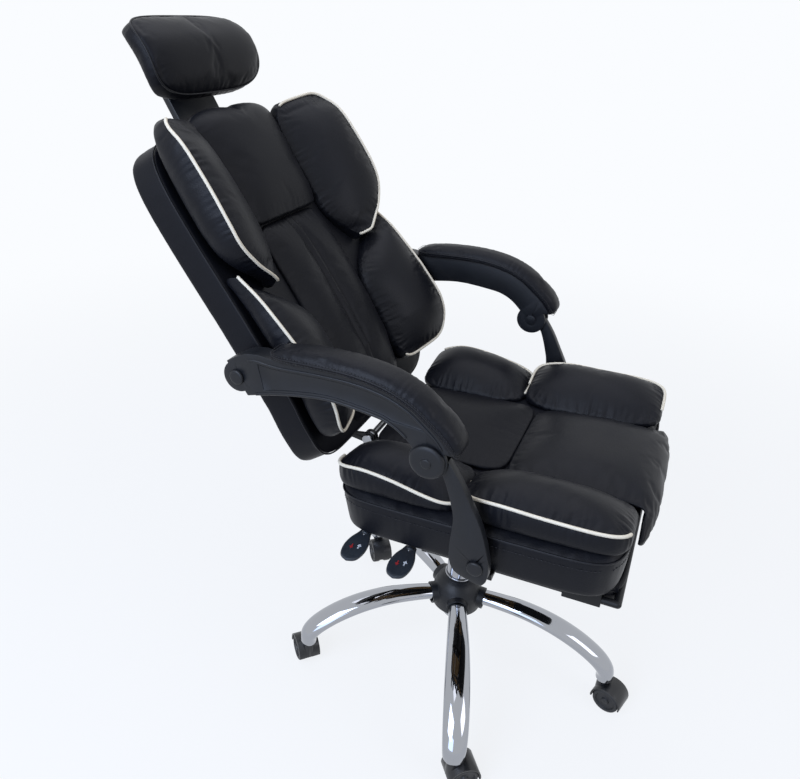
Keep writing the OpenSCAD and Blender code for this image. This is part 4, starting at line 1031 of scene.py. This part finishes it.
@dataclass
class Back:
    """The reclining back: a thin slab, two middle cushions and four piped side cushions."""

    height: float = 565
    head_over: float = 14
    half_w: float = 248
    slab_t: float = 54
    front_t: float = 12
    lumbar: float = 28
    split: float = 396
    middle_w: float = 236
    rest: float = 0.9  # how far the cushions lie above the slab
    body: str = "back"
    slot: str = "black_leather"

    def curve(self, s: Array) -> Array:
        """Returns how far the slab bulges towards the sitter at height s."""
        heights = [0, 0.1, 0.22, 0.35, 0.5, 0.7, 0.85, 1]
        bulges = [0, 0.6, 0.97, 0.95, 0.75, 0.38, 0.12, -0.1]
        return self.lumbar * np.interp(s / self.height, heights, bulges)

    def plan(self, u: Array, v: Array, out: float) -> tuple[Array, Array]:
        """Returns x and s of the slab's outline, moved outwards by out."""
        a, b = rounded(u, v, 10)
        taper = 1 - 0.03 * np.maximum(b, 0) ** 3 - 0.1 * np.maximum(-b, 0) ** 4
        over = self.head_over * np.maximum(b, 0) ** 3
        return (self.half_w * taper + out) * a, self.height / 2 + (self.height / 2 + out) * b + over

    def on_slab(self, x: Array, s: Array, high: Array) -> Array:
        """Returns the point that lies high above the slab's front."""
        return stack(x, -high - self.curve(s), s)

    def build_slab(self) -> None:
        """Makes the slab's front and rear covers and the welt between them."""
        def front_face(u: Array, v: Array) -> Array:
            """Returns the front, which dips a little inside its rim."""
            x, s = self.plan(u, v, -5)
            edge = np.maximum(np.abs(u), np.abs(v))
            return self.on_slab(x, s, 7 * edge**6)

        def parting(u: Array, v: Array) -> Array:
            """Returns the face where the two covers meet."""
            x, s = self.plan(u, v, -6)
            return self.on_slab(x, s, -self.front_t + 0 * u)

        def parting_behind(u: Array, v: Array) -> Array:
            """Returns the same face, clear of the front cover."""
            return parting(u, v) + np.array([0, 0.4, 0])

        def rear_face(u: Array, v: Array) -> Array:
            """Returns the rear, whose edges roll forward."""
            x, s = self.plan(u, v, -3)
            return self.on_slab(x, s, -mix(self.front_t + 34, self.slab_t, swell(u, 12) * swell(v, 8)))

        form = PaddedForm(front_face, parting, [(0.12, 0.5), (0.5, 0.5), (0.88, 0.5)], 44, 50)
        stuffing, gather = Stuffing(0.5, 0.0, 3), Gather(0.25, 19, 9)
        front = Cushion("back_front_cover", form, BACK_AT, TIGHT_LEATHER, stuffing, gather)
        place(front.make(), self.body, self.slot, "back_border_pad", fill=0.85)
        # Past 1 the band turns over the front cover's edge as a lip
        side = [(0.05, 2.5), (0.2, 4.0), (0.6, 4.2), (1.0, 4.4), (1.35, 4.2), (1.5, 3.4), (1.56, 1.6)]
        form = PaddedForm(rear_face, parting_behind, side, 44, 50)
        stuffing, gather = Stuffing(2.0, 0.01, 4), Gather(0.3, 21, 12)
        rear = Cushion("back_rear_cover", form, BACK_AT, TIGHT_LEATHER, stuffing, gather, form.band())
        place(rear.make(), self.body, self.slot, "back_shell", fill=0.85)
        x, s = self.plan(*round_edge(), -3.5)
        path = even(BACK_AT.world(self.on_slab(x, s, 5 + 0 * x)), 5)
        place(swept("back_welt", path, 1.4, WELT, (1, 0, 0), 8), self.body, self.slot)

    def build_middle(self) -> None:
        """Makes the upper cushion that rolls over the top and the lower one with its sewn channel."""
        # From the split up over the slab's head: its outer line, and its line on the slab
        roll = [
            *((0, 0.40), (0.2, 0.60), (0.45, 0.66), (0.72, 0.68)),
            *((0.92, 0.62), (1.04, 0.32), (1.06, -0.08), (0.96, -0.34)),
        ]
        inside = [(0, 0), (0.2, 0), (0.45, 0), (0.65, 0), (0.8, 0), (0.865, 0), (0.872, -0.06), (0.872, -0.3)]
        reach = (self.height + 4 - self.split) * 1.147

        def placed(q: Array, x: Array) -> Array:
            """Returns points at x on one of the two lines."""
            s = self.split + 2 + q[..., 0] * reach
            return stack(x, -self.curve(np.minimum(s, self.height)) - self.rest - q[..., 1] * 52, s)

        def across(u: Array, v: Array) -> tuple[Array, Array]:
            """Returns x, which widens upwards, and the share of the way along the lines."""
            a, b = rounded(u, v, 9)
            f = (b + 1) / 2
            return (self.middle_w / 2 - 8) * a * (1 + 0.16 * f), f

        def upper_top(u: Array, v: Array) -> Array:
            """Returns the rolled face."""
            x, f = across(u, v)
            return placed(mix(spline(inside, f), spline(roll, f), (0.3 + 0.7 * swell(u, 4))[..., None]), x)

        def upper_under(u: Array, v: Array) -> Array:
            """Returns the face on the slab."""
            x, f = across(u, v)
            return placed(spline(inside, f), x)

        form = PaddedForm(upper_top, upper_under, [(0.35, 1.5), (0.7, 1.5)], 42, 56)
        stuffing, gather = Stuffing(3.0, 0.006, 8), Gather(0.35, 16, 9)
        upper = Cushion("back_upper_cushion", form, BACK_AT, TIGHT_LEATHER, stuffing, gather)
        place(upper.make(), self.body, self.slot, "back_upper_panel", fill=0.7)

        half = self.middle_w / 2 - 18
        channel = 9.09  # x of the sewn channels
        foot, head = 14, self.split - 2

        def lower_at(u: Array, v: Array, high: Array) -> Array:
            """Returns points of the lower cushion that lie high above the slab."""
            a, b = rounded(u, v, 9)
            return self.on_slab(half * a, mix(foot, head, (b + 1) / 2), high)

        def lower_top(u: Array, v: Array) -> Array:
            """Returns the crowned face with its two channels."""
            sewn = np.maximum(1 - np.abs(np.abs(u) * half - channel) / 5, 0) ** 0.8 * swell(v, 10)
            return lower_at(u, v, 8 + 13 * swell(u, 5) * swell(v, 8) - 6.5 * sewn)

        def lower_under(u: Array, v: Array) -> Array:
            """Returns the face on the slab."""
            return lower_at(u, v, self.rest + 0 * u)

        columns, rows = 44, 72
        form = PaddedForm(lower_top, lower_under, [(0.35, 1.5), (0.7, 1.5)], columns, rows)
        lines = {
            side: [form.cell(columns // 2 + 2 * side.value, j) for j in range(2, rows - 1)] for side in Side
        }
        held = [*lines[Side.RIGHT], *lines[Side.LEFT]]
        stuffing = Stuffing(2.5, 0.006, 7)
        lower = Cushion("back_lower_cushion", form, BACK_AT, TIGHT_LEATHER, stuffing, gather, held)
        place(lower.make(), self.body, self.slot, "back_lower_panel", fill=0.7)
        forward = BACK_AT.world(np.array([[0.0, -1.0, 0.0]])) - BACK_AT.world(np.zeros((1, 3)))
        for side, line in lines.items():
            seam = BACK_AT.world(form.points[line])
            normals = np.repeat(unit(forward), len(seam), axis=0)
            thread = stitches(f"back_channel_stitches_{side.word}", seam + normals * 0.8 * MM, normals, 6)
            place(thread, self.body, self.slot)

    def wing_form(self, cut: WingCut) -> PaddedForm:
        """Returns the form of a side cushion, on the sitter's left."""

        def placed(a: Array, b: Array, high: Array) -> Array:
            """Returns points between the cushion's sides and ends, high above the slab."""
            f, share = (b + 1) / 2, (a + 1) / 2
            x = mix(row_at(cut.inner, f), row_at(cut.outer, f), share)
            over = cut.tip * share**2 * np.maximum(f - 0.6, 0) / 0.4
            return self.on_slab(x, mix(*cut.ends, f) + over, high)

        def top(u: Array, v: Array) -> Array:
            """Returns the crowned face, which rises to its outer seam."""
            a, b = rounded(u, v, 5.0)
            high = mix(16, row_at(cut.edge, (b + 1) / 2), ((a + 1) / 2) ** 0.85)
            return placed(a, b, high + cut.crown * swell(u, 2.3) * swell(v, 3.0))

        def under(u: Array, v: Array) -> Array:
            """Returns the face on the slab, which rises to the outer rear edge."""
            a, b = rounded(u * 0.96, v * 0.98, 5.0)
            return placed(a, b, self.rest + row_at(cut.rear, (b + 1) / 2) * ((a + 1) / 2) ** 2.6)

        band = [(0.1, 2.0), (0.25, 5.0), (0.42, 7.5), (0.6, 8.0), (0.78, 6.5), (0.92, 3.0)]
        return PaddedForm(top, under, band, 34, 64)

    def build_wings(self) -> None:
        """Makes the four side cushions with their piping."""
        upper = WingCut(
            ends=(306, 588),
            inner=(148, 124, 112, 110, 110, 110, 110, 110, 110),
            outer=(178, 214, 237, 243, 243, 242, 241, 240, 238),
            edge=(52, 66, 78, 82, 82, 78, 62),
            rear=(34, 24, 22, 22, 24, 28, 40),
        )
        lower = WingCut(
            ends=(48, 326),
            inner=(102, 102, 102, 102, 102, 106, 128, 172, 220),
            outer=(238, 240),
            edge=(66, 76, 74, 68, 60, 50, 36),
            rear=(30, 22, 20, 20, 18, 16, 12),
            tip=20,
        )
        wings = (("upper", upper, ((-0.6, -0.8), (0.3, 0.75))), ("lower", lower, ((-0.9, 0.6), (-0.9, 0.6))))
        for word, cut, ends in wings:
            name, form = f"back_{word}_wing_left", self.wing_form(cut)
            wing = Cushion(name, form, BACK_AT, LEATHER, WING_STUFFING, WING_GATHER)
            place_piped_pair(wing, ends, self.body, self.slot, f"back_{word}_wings")

    def build(self) -> None:
        """Makes the whole back."""
        self.build_slab()
        self.build_middle()
        self.build_wings()
        dress("back_board", PLY, 0.8)
        dress("back_bracket", POWDER, 0.8)
        dress("headrest_socket", NYLON, 1.0)
        dress("arm_pivot_pins", NYLON, 0.5)


@dataclass
class Headrest:
    """The headrest: a wide roll with full ends on a tilting plate and a sliding stem."""

    half_w: float = 145
    half_h: float = 67
    middle: float = 705
    seam_y: float = -24
    bend: float = 26
    fullness: float = 14
    hollow_y: float = 8

    def build(self) -> None:
        """Makes the roll, its edge welts and the plastic parts."""

        def placed(a: Array, b: Array, y: Array) -> Array:
            """Returns points at depth y, a across and b up."""
            return stack(self.half_w * a, y, self.middle + self.half_h * b)

        def front_face(u: Array, v: Array) -> Array:
            """Returns the full front, bent back at its top and foot."""
            a, b = rounded(u, v, 3.8)
            full = (swell(u, 5) * swell(v, 4)) ** 0.6
            return placed(a, b, self.seam_y + self.bend * b * b - self.fullness * full)

        def rear_face(u: Array, v: Array) -> Array:
            """Returns the rear, hollow between two lobes."""
            a, b = rounded(u * 0.97, v * 0.96, 3.8)
            lobes = np.exp(-(((np.abs(b) - 0.74) / 0.2) ** 2)) * swell(a, 8)
            return placed(a, b, self.hollow_y + 14 * b * b + 5 * lobes - 4 * np.abs(a) ** 3 + 1)

        form = PaddedForm(front_face, rear_face, [(0.25, 3.5), (0.5, 5.0), (0.75, 3.5)], 60, 34)
        stuffing, gather = Stuffing(2.0, 0.01, 6), Gather(0.25, 17, 9)
        roll = Cushion("headrest_cushion", form, BACK_AT, TIGHT_LEATHER, stuffing, gather)
        place(roll.make(), "headrest", "black_leather", "headrest_pad", fill=0.8)
        welt = roll.welt("headrest_welt", 0.5, 4, 1.6, roll.seam_normals[0])
        place(welt, "headrest", "black_leather")
        dress("headrest_shell", NYLON, 0.6)
        dress("headrest_stem", NYLON, 1.2)


@dataclass
class Arms:
    """Both arms: a moulded bracket with a sewn pad, a knob, and the strut that carries it."""

    x: float = 281
    width: float = 30
    rear: tuple[float, float] = (301, 698)
    front: tuple[float, float] = (-9, 650)
    rise: float = 50
    crown: float = 6
    pad_w: float = 56
    pad_t: float = 22
    pad_from: float = 0.2
    seam_h: float = 8.5
    top_shares: tuple = (
        *((-0.06, 0.44), (0.068, 0.88), (0.229, 0.88), (0.42, 0.98), (0.616, 1.02)),
        *((0.777, 0.9), (0.9, 0.62), (0.985, 0.26), (1.06, -0.14), (1.112, -0.6)),
    )
    low_shares: tuple = (
        *((0.932, -0.72), (0.868, -0.36), (0.8, -0.14), (0.719, -0.04)),
        *((0.519, 0.04), (0.361, -0.08), (0.2, -0.3), (0.055, -0.56)),
    )

    def along(self, shares: Sequence, f: Array) -> Array:
        """Returns y and z of points on one of the bracket's two lines."""
        p = spline(shares, f)
        y = self.rear[0] - p[..., 0] * (self.rear[0] - self.front[0])
        return np.stack([y, self.rear[1] + p[..., 1] * self.rise], axis=-1)

    def off_top(self, f: Array, up: Array) -> Array:
        """Returns y and z of points that lie up above the bracket's top line."""
        ahead = self.along(self.top_shares, np.minimum(f + 0.01, 1))
        run = ahead - self.along(self.top_shares, np.maximum(f - 0.01, 0))
        normal = unit(np.stack([run[..., 1], -run[..., 0]], axis=-1))
        return self.along(self.top_shares, f) + normal * np.asarray(up)[..., None]

    def pad_form(self) -> PaddedForm:
        """Returns the cut of the sewn pad, whose seam runs a little above its lower edge."""

        def point(u: Array, v: Array, out: float, up: Array) -> Array:
            """Returns points that lie up above the bracket, with the outline moved outwards by out."""
            a, b = rounded(u, v, 7)
            f = mix(self.pad_from, 1, (b + 1) / 2)
            yz = self.off_top(f, up + 0 * u)
            half = (self.pad_w / 2 + out) * (1 - 0.14 * np.abs(b) ** 6)
            return stack(self.x + half * a, yz[..., 0], yz[..., 1])

        def top(u: Array, v: Array) -> Array:
            """Returns the round upper face, above the seam."""
            crown = np.sqrt(np.maximum(swell(u, 2.8), 0)) * swell(v, 10) ** 0.6
            return point(u, v, -1, self.seam_h + (self.pad_t - self.seam_h) * crown)

        def under(u: Array, v: Array) -> Array:
            """Returns the face on the bracket."""
            return point(u, v, -3, 0.4 + 0 * u)

        return PaddedForm(top, under, [(0.15, 1.0), (0.45, 2.0), (0.8, 1.5)], 20, 84)

    def bead(self, name: str, lower: bool) -> Piece:
        """Returns one of the two raised ridges on the bracket's outer face, on the sitter's left."""
        f = np.linspace(0.1, 0.94, 90)
        if lower:
            yz = self.along(self.low_shares, f) + np.array([0, 2.2])
        else:
            yz = self.off_top(f, -1.9 * self.crown + 0 * f)
        path = even(CHAIR_AT.world(stack(self.x + self.width / 2 - 0.2, yz[:, 0], yz[:, 1])), 4)
        return swept(name, path, (1.6, 2.4), NYLON, across=(1, 0, 0))

    def build(self) -> None:
        """Makes both arms."""
        stuffing, gather = Stuffing(2.0, 0.005, 5), Gather(0.3, 12, 8)
        pad = Cushion("arm_cushion_left", self.pad_form(), CHAIR_AT, LEATHER, stuffing, gather)
        made = [pad.make(), pad.welt("arm_welt_left", 0.4, 4, 1.3)]
        normals = pad.normals()
        for word, rise in (("high", 3.2), ("low", -3.2)):
            line = pad.seam() + np.array([0, 0, rise * MM]) + normals * MM
            made.append(stitches(f"arm_stitches_{word}_left", line, normals, 5))
        made += [self.bead("arm_ridge_top_left", False), self.bead("arm_ridge_low_left", True)]
        for side in Side:
            body = f"arm_{side.word}"
            if side is Side.RIGHT:
                made = [twin(piece, piece.name.replace("_left", "_right")) for piece in made]
            place(made[0], body, "black_leather", f"arm_pad_{side.word}", fill=0.7)
            for piece in made[1:]:
                place(piece, body, "moulded_nylon" if "ridge" in piece.name else "black_leather")
            dress(f"arm_bracket_{side.word}", NYLON, 1.4)
            dress(f"arm_knob_{side.word}", NYLON, 0.8)
            dress(f"strut_{side.word}", NYLON, 1.8)


@dataclass
class Base:
    """The star base: five plated legs, the hub and its cover, the casters and the gas lift."""

    reach: float = 305
    root_z: float = 152
    drop: float = 88
    azimuth: float = 199.7
    widths: tuple[float, float, float] = (30, 46, 38)
    heights: tuple[float, float] = (26, 32)
    root: float = 27.5
    ring_r: float = 26.4
    ring_z: float = 199.5
    shares: tuple = (
        *((0, 0), (0.187, 0.06), (0.407, 0.06), (0.604, -0.05)),
        *((0.78, -0.26), (0.918, -0.53), (0.989, -0.78), (1, -1)),
    )

    def leg(self, number: int) -> Piece:
        """Returns one pressed and plated leg tube."""
        turn = math.radians(self.azimuth + 72 * number)
        f = np.linspace(0, 1, 72)
        p = spline(self.shares, f)
        r, z = mix(self.root, self.reach, p[:, 0]), self.root_z + p[:, 1] * self.drop
        path = np.stack([r * math.cos(turn), r * math.sin(turn), z], axis=1) * MM
        root, mid, end = self.widths
        widening = mix(root, mid, np.sin(math.pi * f / 1.1))
        narrowing = mix(end, mid, np.cos(math.pi * np.maximum(f - 0.55, 0) / 0.9))
        wide = np.where(f < 0.55, widening, narrowing)
        radii = np.stack([wide / 2, mix(*self.heights, f) / 2], axis=1)
        return swept(f"leg_{number + 1}", path, radii, CHROME, (-math.sin(turn), math.cos(turn), 0), 32)

    def hub_ring(self) -> Piece:
        """Returns the bright ring round the column above the hub."""
        q = np.linspace(0, 2 * math.pi, 97)
        path = np.stack([self.ring_r * np.cos(q), self.ring_r * np.sin(q), 0 * q + self.ring_z], axis=1) * MM
        return swept("hub_ring", path, (1.6, 1.4), CHROME, (1, 0, 0), 12)

    def build(self) -> None:
        """Makes the base."""
        for k in range(5):
            place(self.leg(k), "base", "chrome_tube", *(["star_legs"] if k == 0 else []))
        place(self.hub_ring(), "base", "chrome_tube")
        dress("hub_tube", POWDER, 0.5)
        dress("hub_cover", NYLON, 1.2)
        dress("caster_sockets", NYLON, 0.5)
        dress("column_tube", CHROME, 0.6)
        dress("column_bush", NYLON, 0.4)
        dress("thrust_bearing", STEEL)
        dress("piston_rod", CHROME, 0.3)
        dress("gas_cylinder", POWDER, 0.5)
        dress("valve_button", STEEL, 0.3)
        for k in range(1, 6):
            dress(f"caster_hood_{k}", CASTER_NYLON, 0.7)
            dress(f"caster_wheels_{k}", TREAD, 0.4)


@dataclass
class Levers:
    """The two pull levers on the sitter's right, with moulded grips and generic arrows."""

    tip: float = 300
    grip_l: float = 78
    grip_w: float = 38
    grip_t: float = 7
    z: float = 424
    pivot_x: float = 74
    lift_y: float = 28

    def grip(self, name: str, y: float) -> Piece:
        """Returns a tongue-shaped grip: narrow at its root, round at its end, dished a little on top."""
        # Share of its length from its end, and share of its width
        outline = [(1.0, 0.24), (0.86, 0.30), (0.66, 0.44), (0.42, 0.5), (0.2, 0.44), (0.07, 0.3), (0.0, 0.0)]
        # Share of the way in to its middle, and height as a share of its thickness
        section = [
            *((0.5, -0.3), (0.12, -0.5), (0.0, -0.32), (0.0, 0.3)),
            *((0.05, 0.46), (0.14, 0.5), (0.22, 0.46), (0.55, 0.40)),
        ]
        half = spline(outline, np.linspace(0, 1, 26))
        side = np.concatenate([half, half[-2::-1] * np.array([1, -1])])
        rim = np.stack([-self.tip + side[:, 0] * self.grip_l, y + side[:, 1] * self.grip_w], axis=1)
        centre = np.array([-self.tip + self.grip_l * 0.45, y])
        rings = [
            np.column_stack([mix(rim, centre, inset), np.full(len(rim), self.z + z * self.grip_t)])
            for inset, z in section
        ]
        piece = make_mesh(name, np.concatenate(rings) * MM, tube_faces(len(rings), len(rim)), LEVER_ABS)
        add_modifier(piece, "SUBSURF", levels=1, render_levels=2)
        return piece

    def arrow(self, name: str, y: float, x: float, turn: float, finish: Finish) -> Piece:
        """Returns a printed arrow on the grip."""
        shape = np.array([(-5, -1), (1, -1), (1, -3.4), (6, 0), (1, 3.4), (1, 1), (-5, 1)], float)
        c, s = math.cos(turn), math.sin(turn)
        flat = shape @ np.array([[c, s], [-s, c]]) + np.array([x, y])
        top, low = self.z + self.grip_t * 0.5 + 0.15, self.z + self.grip_t * 0.36
        points = np.concatenate([np.column_stack([flat, np.full(7, z)]) for z in (low, top)]) * MM
        caps = [tuple(range(6, -1, -1)), tuple(range(7, 14))]
        piece = make_mesh(name, points, caps + between(range(7), range(7, 14)), finish)
        for polygon in piece.data.polygons:
            polygon.use_smooth = False
        return piece

    def build(self) -> None:
        """Makes both levers."""
        root, middle, pivot = self.grip_l - self.tip, self.grip_l * 0.4 - self.tip, -self.pivot_x
        plans = [
            ("lift", self.lift_y, "lift_handle", "lift_lever", 6),
            ("recline", 108, "recline_handle", "recline_lever", -self.pivot_x / 3),
        ]
        for word, y, body, node, inner in plans:
            place(self.grip(f"{word}_grip", y), body, "lever_plastic", node)
            rod = [(root - 12, y), (root + 20, y), (pivot, y), (inner, y)]
            collar = [(root - 8, y), (root + 9, y)]
            pin = [(pivot, y - 11.5), (pivot, y + 11.5)]
            bars = (
                ("rod", rod, 6, 4, STEEL, (0, 0, 1), 16, "bearing_steel"),
                ("collar", collar, 2, 6.8, LEVER_ABS, (0, 0, 1), 20, "lever_plastic"),
                ("pivot", pin, 3, 3, STEEL, (1, 0, 0), 14, "bearing_steel"),
            )
            for part, line, step, radius, finish, across, sides, slot in bars:
                path = even(np.array([(*point, self.z) for point in line]) * MM, step)
                place(swept(f"{word}_{part}", path, radius, finish, across, sides), body, slot, node)
            place(self.arrow(f"{word}_arrow_red", y + 5, middle, math.pi, RED_INK), body, "lever_plastic")
            place(self.arrow(f"{word}_arrow_white", y - 6, middle + 4, 0, WHITE_INK), body, "lever_plastic")
        y, over = self.lift_y, self.z + 18.5
        finger = np.array([(0, y, self.z), (0, y, self.z + 17), (0, 14, over), (0, -5, over)])
        piece = swept("lift_finger", even(finger * MM, 3), (5, 1.8), STEEL, (1, 0, 0), 12)
        place(piece, "lift_handle", "bearing_steel", "lift_lever")


@dataclass
class Footrest:
    """The footrest: an upholstered board that flips over on a rod frame that slides out."""

    width: float = 400
    length: float = 200
    foot_y: float = -284
    rod_z: float = -27
    rod_r: float = 6
    board_z: float = -22
    nose: float = 23
    board_in: float = 8
    edge_r: float = 5.5

    def build(self) -> None:
        """Makes the footrest's pad and dresses its frame."""
        y0 = self.foot_y - self.rod_r
        low = self.rod_z - self.nose

        def plan(u: Array, v: Array, out: float) -> tuple[Array, Array]:
            """Returns x and y of the pad's outline, moved outwards by out."""
            a, b = rounded(u, v, 11)
            return (self.width / 2 - 3 + out) * a, y0 + self.length / 2 + (self.length / 2 - 3 + out) * b

        def top(u: Array, v: Array) -> Array:
            """Returns the padded face, which faces down while the footrest is in."""
            x, y = plan(u, v, 0)
            return stack(x, y, low + 7 - 6 * swell(u, 6) * swell(v, 6))

        def under(u: Array, v: Array) -> Array:
            """Returns the face on the board."""
            x, y = plan(u, v, -1)
            return stack(x, y, self.board_z - 0.3 + 0 * u)

        form = PaddedForm(top, under, [(0.1, 1.5), (0.35, 3.0), (0.65, 3.0), (0.9, 1.5)], 56, 30)
        stuffing, gather = Stuffing(2.0, 0.008, 6), Gather(0.3, 15, 9)
        pad = Cushion("footrest_cushion", form, SEAT_AT, LEATHER, stuffing, gather)
        place(pad.make(), "footrest", "black_leather", "footrest_pad", fill=0.75)
        place(pad.welt("footrest_welt", 0.4, 5, 1.6), "footrest", "black_leather")
        dress("footrest_board", TIGHT_LEATHER, 0.8)
        x, y = plan(*round_edge(), self.edge_r - self.board_in)
        path = even(SEAT_AT.world(stack(x, y, 0.5 * (self.board_z - 12) + 0 * x)), 5)
        place(swept("footrest_edge", path, self.edge_r, TIGHT_LEATHER, sides=12), "footrest", "black_leather")
        dress("footrest_frame", POWDER, 0.5)
        dress("footrest_rails", POWDER, 0.8)


@dataclass
class Mechanism:
    """The steel parts under the seat."""

    def build(self) -> None:
        """Dresses the tray, the hinge and the strut brackets."""
        dress("mechanism_tray", POWDER, 0.6)
        dress("strut_brackets", POWDER, 0.6)
        dress("hinge_pin", STEEL, 0.4)
        dress("seat_bolts", STEEL, 0.4)
        dress("strut_pins", NYLON, 0.5)


@dataclass
class Studio:
    """The camera at the photograph's place, a plain pale floor and soft light."""

    eye: tuple[float, float, float] = (-1.0452, -0.257, 1.1919)
    yaw: float = 0.4664
    pitch: float = 0.4884
    roll: float = 0.027
    focal_px: float = 694.48
    image: tuple[float, float] = (800, 779)
    optical_px: tuple[float, float] = (344.77, 376.57)
    sensor: float = 36
    backdrop: str = "#fafcff"
    room_power: float = 0.3
    glow_share: float = 0.85  # share of the floor's brightness near the chair that no shadow dims

    def set_camera(self) -> None:
        """Places the camera."""
        level = math.cos(self.pitch)
        forward = Vector((math.cos(self.yaw) * level, math.sin(self.yaw) * level, -math.sin(self.pitch)))
        right = forward.cross(Vector((0, 0, 1))).normalized()
        up = right.cross(forward)
        c, s = math.cos(self.roll), math.sin(self.roll)
        side, top = right * c + up * s, up * c - right * s
        data = bpy.data.cameras.new("camera")
        data.sensor_width = self.sensor
        data.sensor_fit = "HORIZONTAL"
        data.lens = self.focal_px * self.sensor / self.image[0]
        data.shift_x = (self.image[0] / 2 - self.optical_px[0]) / self.image[0]
        data.shift_y = (self.optical_px[1] - self.image[1] / 2) / self.image[0]
        camera = add_object("camera", data)
        turn = Matrix((side, top, -forward)).transposed().to_4x4()
        camera.matrix_world = Matrix.Translation(Vector(self.eye)) @ turn
        bpy.context.scene.camera = camera

    @staticmethod
    def add_lamp(name: str, at: Sequence[float], size: float, power: float, colour: str) -> None:
        """Adds a soft square lamp that faces the chair.

        Args:
            name: name of the lamp.
            at: its place, in metres.
            size: length of its sides, in metres.
            power: its power, in watts.
            colour: its sRGB hex colour.
        """
        data = bpy.data.lights.new(name, "AREA")
        data.shape = "SQUARE"
        data.size, data.energy, data.color = size, power, linear(colour)[:3]
        lamp = add_object(name, data)
        aim = Vector((0, 0.1, 0.55)) - Vector(at)
        lamp.matrix_world = Matrix.Translation(Vector(at)) @ aim.to_track_quat("-Z", "Y").to_matrix().to_4x4()

    @staticmethod
    def seen(tree: bpy.types.NodeTree) -> bpy.types.NodeSocket:
        """Returns 1 for the rays that show a surface: camera, glossy and transmission rays."""
        path = add_node(tree, "ShaderNodeLightPath")
        either = {"operation": "ADD", "use_clamp": True}
        direct = {0: path.outputs["Is Camera Ray"], 1: path.outputs["Is Transmission Ray"]}
        straight = add_node(tree, "ShaderNodeMath", either, direct).outputs[0]
        mirrored = {0: straight, 1: path.outputs["Is Glossy Ray"]}
        return add_node(tree, "ShaderNodeMath", either, mirrored).outputs[0]

    def set_world(self) -> None:
        """Gives a white backdrop and a dim, even fill."""
        world = bpy.data.worlds.new("studio")
        world.use_nodes = True
        bpy.context.scene.world = world
        tree = world.node_tree
        tree.nodes.clear()
        fill, shown = linear("#e6ecf8"), linear(self.backdrop)
        room = add_node(tree, "ShaderNodeBackground", {"Color": fill, "Strength": self.room_power})
        backdrop = add_node(tree, "ShaderNodeBackground", {"Color": shown, "Strength": 1.0})
        parts = {0: self.seen(tree), 1: room.outputs[0], 2: backdrop.outputs[0]}
        both = add_node(tree, "ShaderNodeMixShader", None, parts)
        add_node(tree, "ShaderNodeOutputWorld", None, {"Surface": both.outputs[0]})

    def add_floor(self) -> None:
        """Lays a floor that looks white, keeps the chair's shadow, and lights the chair as a duller one."""
        half = 40.0  # metres, so that its far edge doesn't show
        mesh = bpy.data.meshes.new("floor")
        corners = [(-half, -half, 0), (half, -half, 0), (half, half, 0), (-half, half, 0)]
        mesh.from_pydata(corners, [], [(0, 1, 2, 3)])
        floor = add_object("floor", mesh)
        material = bpy.data.materials.new("pale_floor")
        material.use_nodes = True
        tree = material.node_tree
        tree.nodes.clear()
        paper = add_node(tree, "ShaderNodeBsdfDiffuse", {"Color": linear("#f7f9fb")})
        glow = add_node(tree, "ShaderNodeEmission", {"Color": linear(self.backdrop), "Strength": 1.0})
        where = add_node(tree, "ShaderNodeTexCoord").outputs["Object"]
        far = add_node(tree, "ShaderNodeVectorMath", {"operation": "LENGTH"}, {0: where}).outputs["Value"]
        span = {"From Min": 0.8, "From Max": 3.0, "To Min": self.glow_share, "To Max": 1.0}
        soft = {"interpolation_type": "SMOOTHSTEP", **span}
        share = add_node(tree, "ShaderNodeMapRange", soft, {"Value": far})
        parts = {0: share.outputs["Result"], 1: paper.outputs[0], 2: glow.outputs[0]}
        pale = add_node(tree, "ShaderNodeMixShader", None, parts)
        carpet = add_node(tree, "ShaderNodeBsdfDiffuse", {"Color": linear("#a8a49e")})
        parts = {0: self.seen(tree), 1: carpet.outputs[0], 2: pale.outputs[0]}
        both = add_node(tree, "ShaderNodeMixShader", None, parts)
        add_node(tree, "ShaderNodeOutputMaterial", None, {"Surface": both.outputs[0]})
        mesh.materials.append(material)

    def build(self) -> None:
        """Sets up the view."""
        bpy.context.scene.view_settings.view_transform = "Standard"
        self.set_camera()
        self.set_world()
        self.add_floor()
        self.add_lamp("key", (-2.4, 0.9, 2.2), 1.8, 62, "#d4e3ff")
        self.add_lamp("side", (-2.6, 0.2, 0.9), 1.4, 16, "#bcd4ff")
        self.add_lamp("front", (-0.5, -2.6, 2.2), 1.5, 18, "#f4f5ff")
        self.add_lamp("top", (0.3, 0.4, 3.0), 2.4, 24, "#f1f3ff")


def main() -> None:
    """Builds the chair's looks round its frame."""
    logging.basicConfig(level=logging.INFO, format="%(message)s")
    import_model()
    Studio().build()
    for part in (Base(), Mechanism(), Levers(), Seat(), Back(), Headrest(), Arms(), Footrest()):
        part.build()
        LOG.info("built %s", type(part).__name__)


if __name__ == "__main__":
    main()
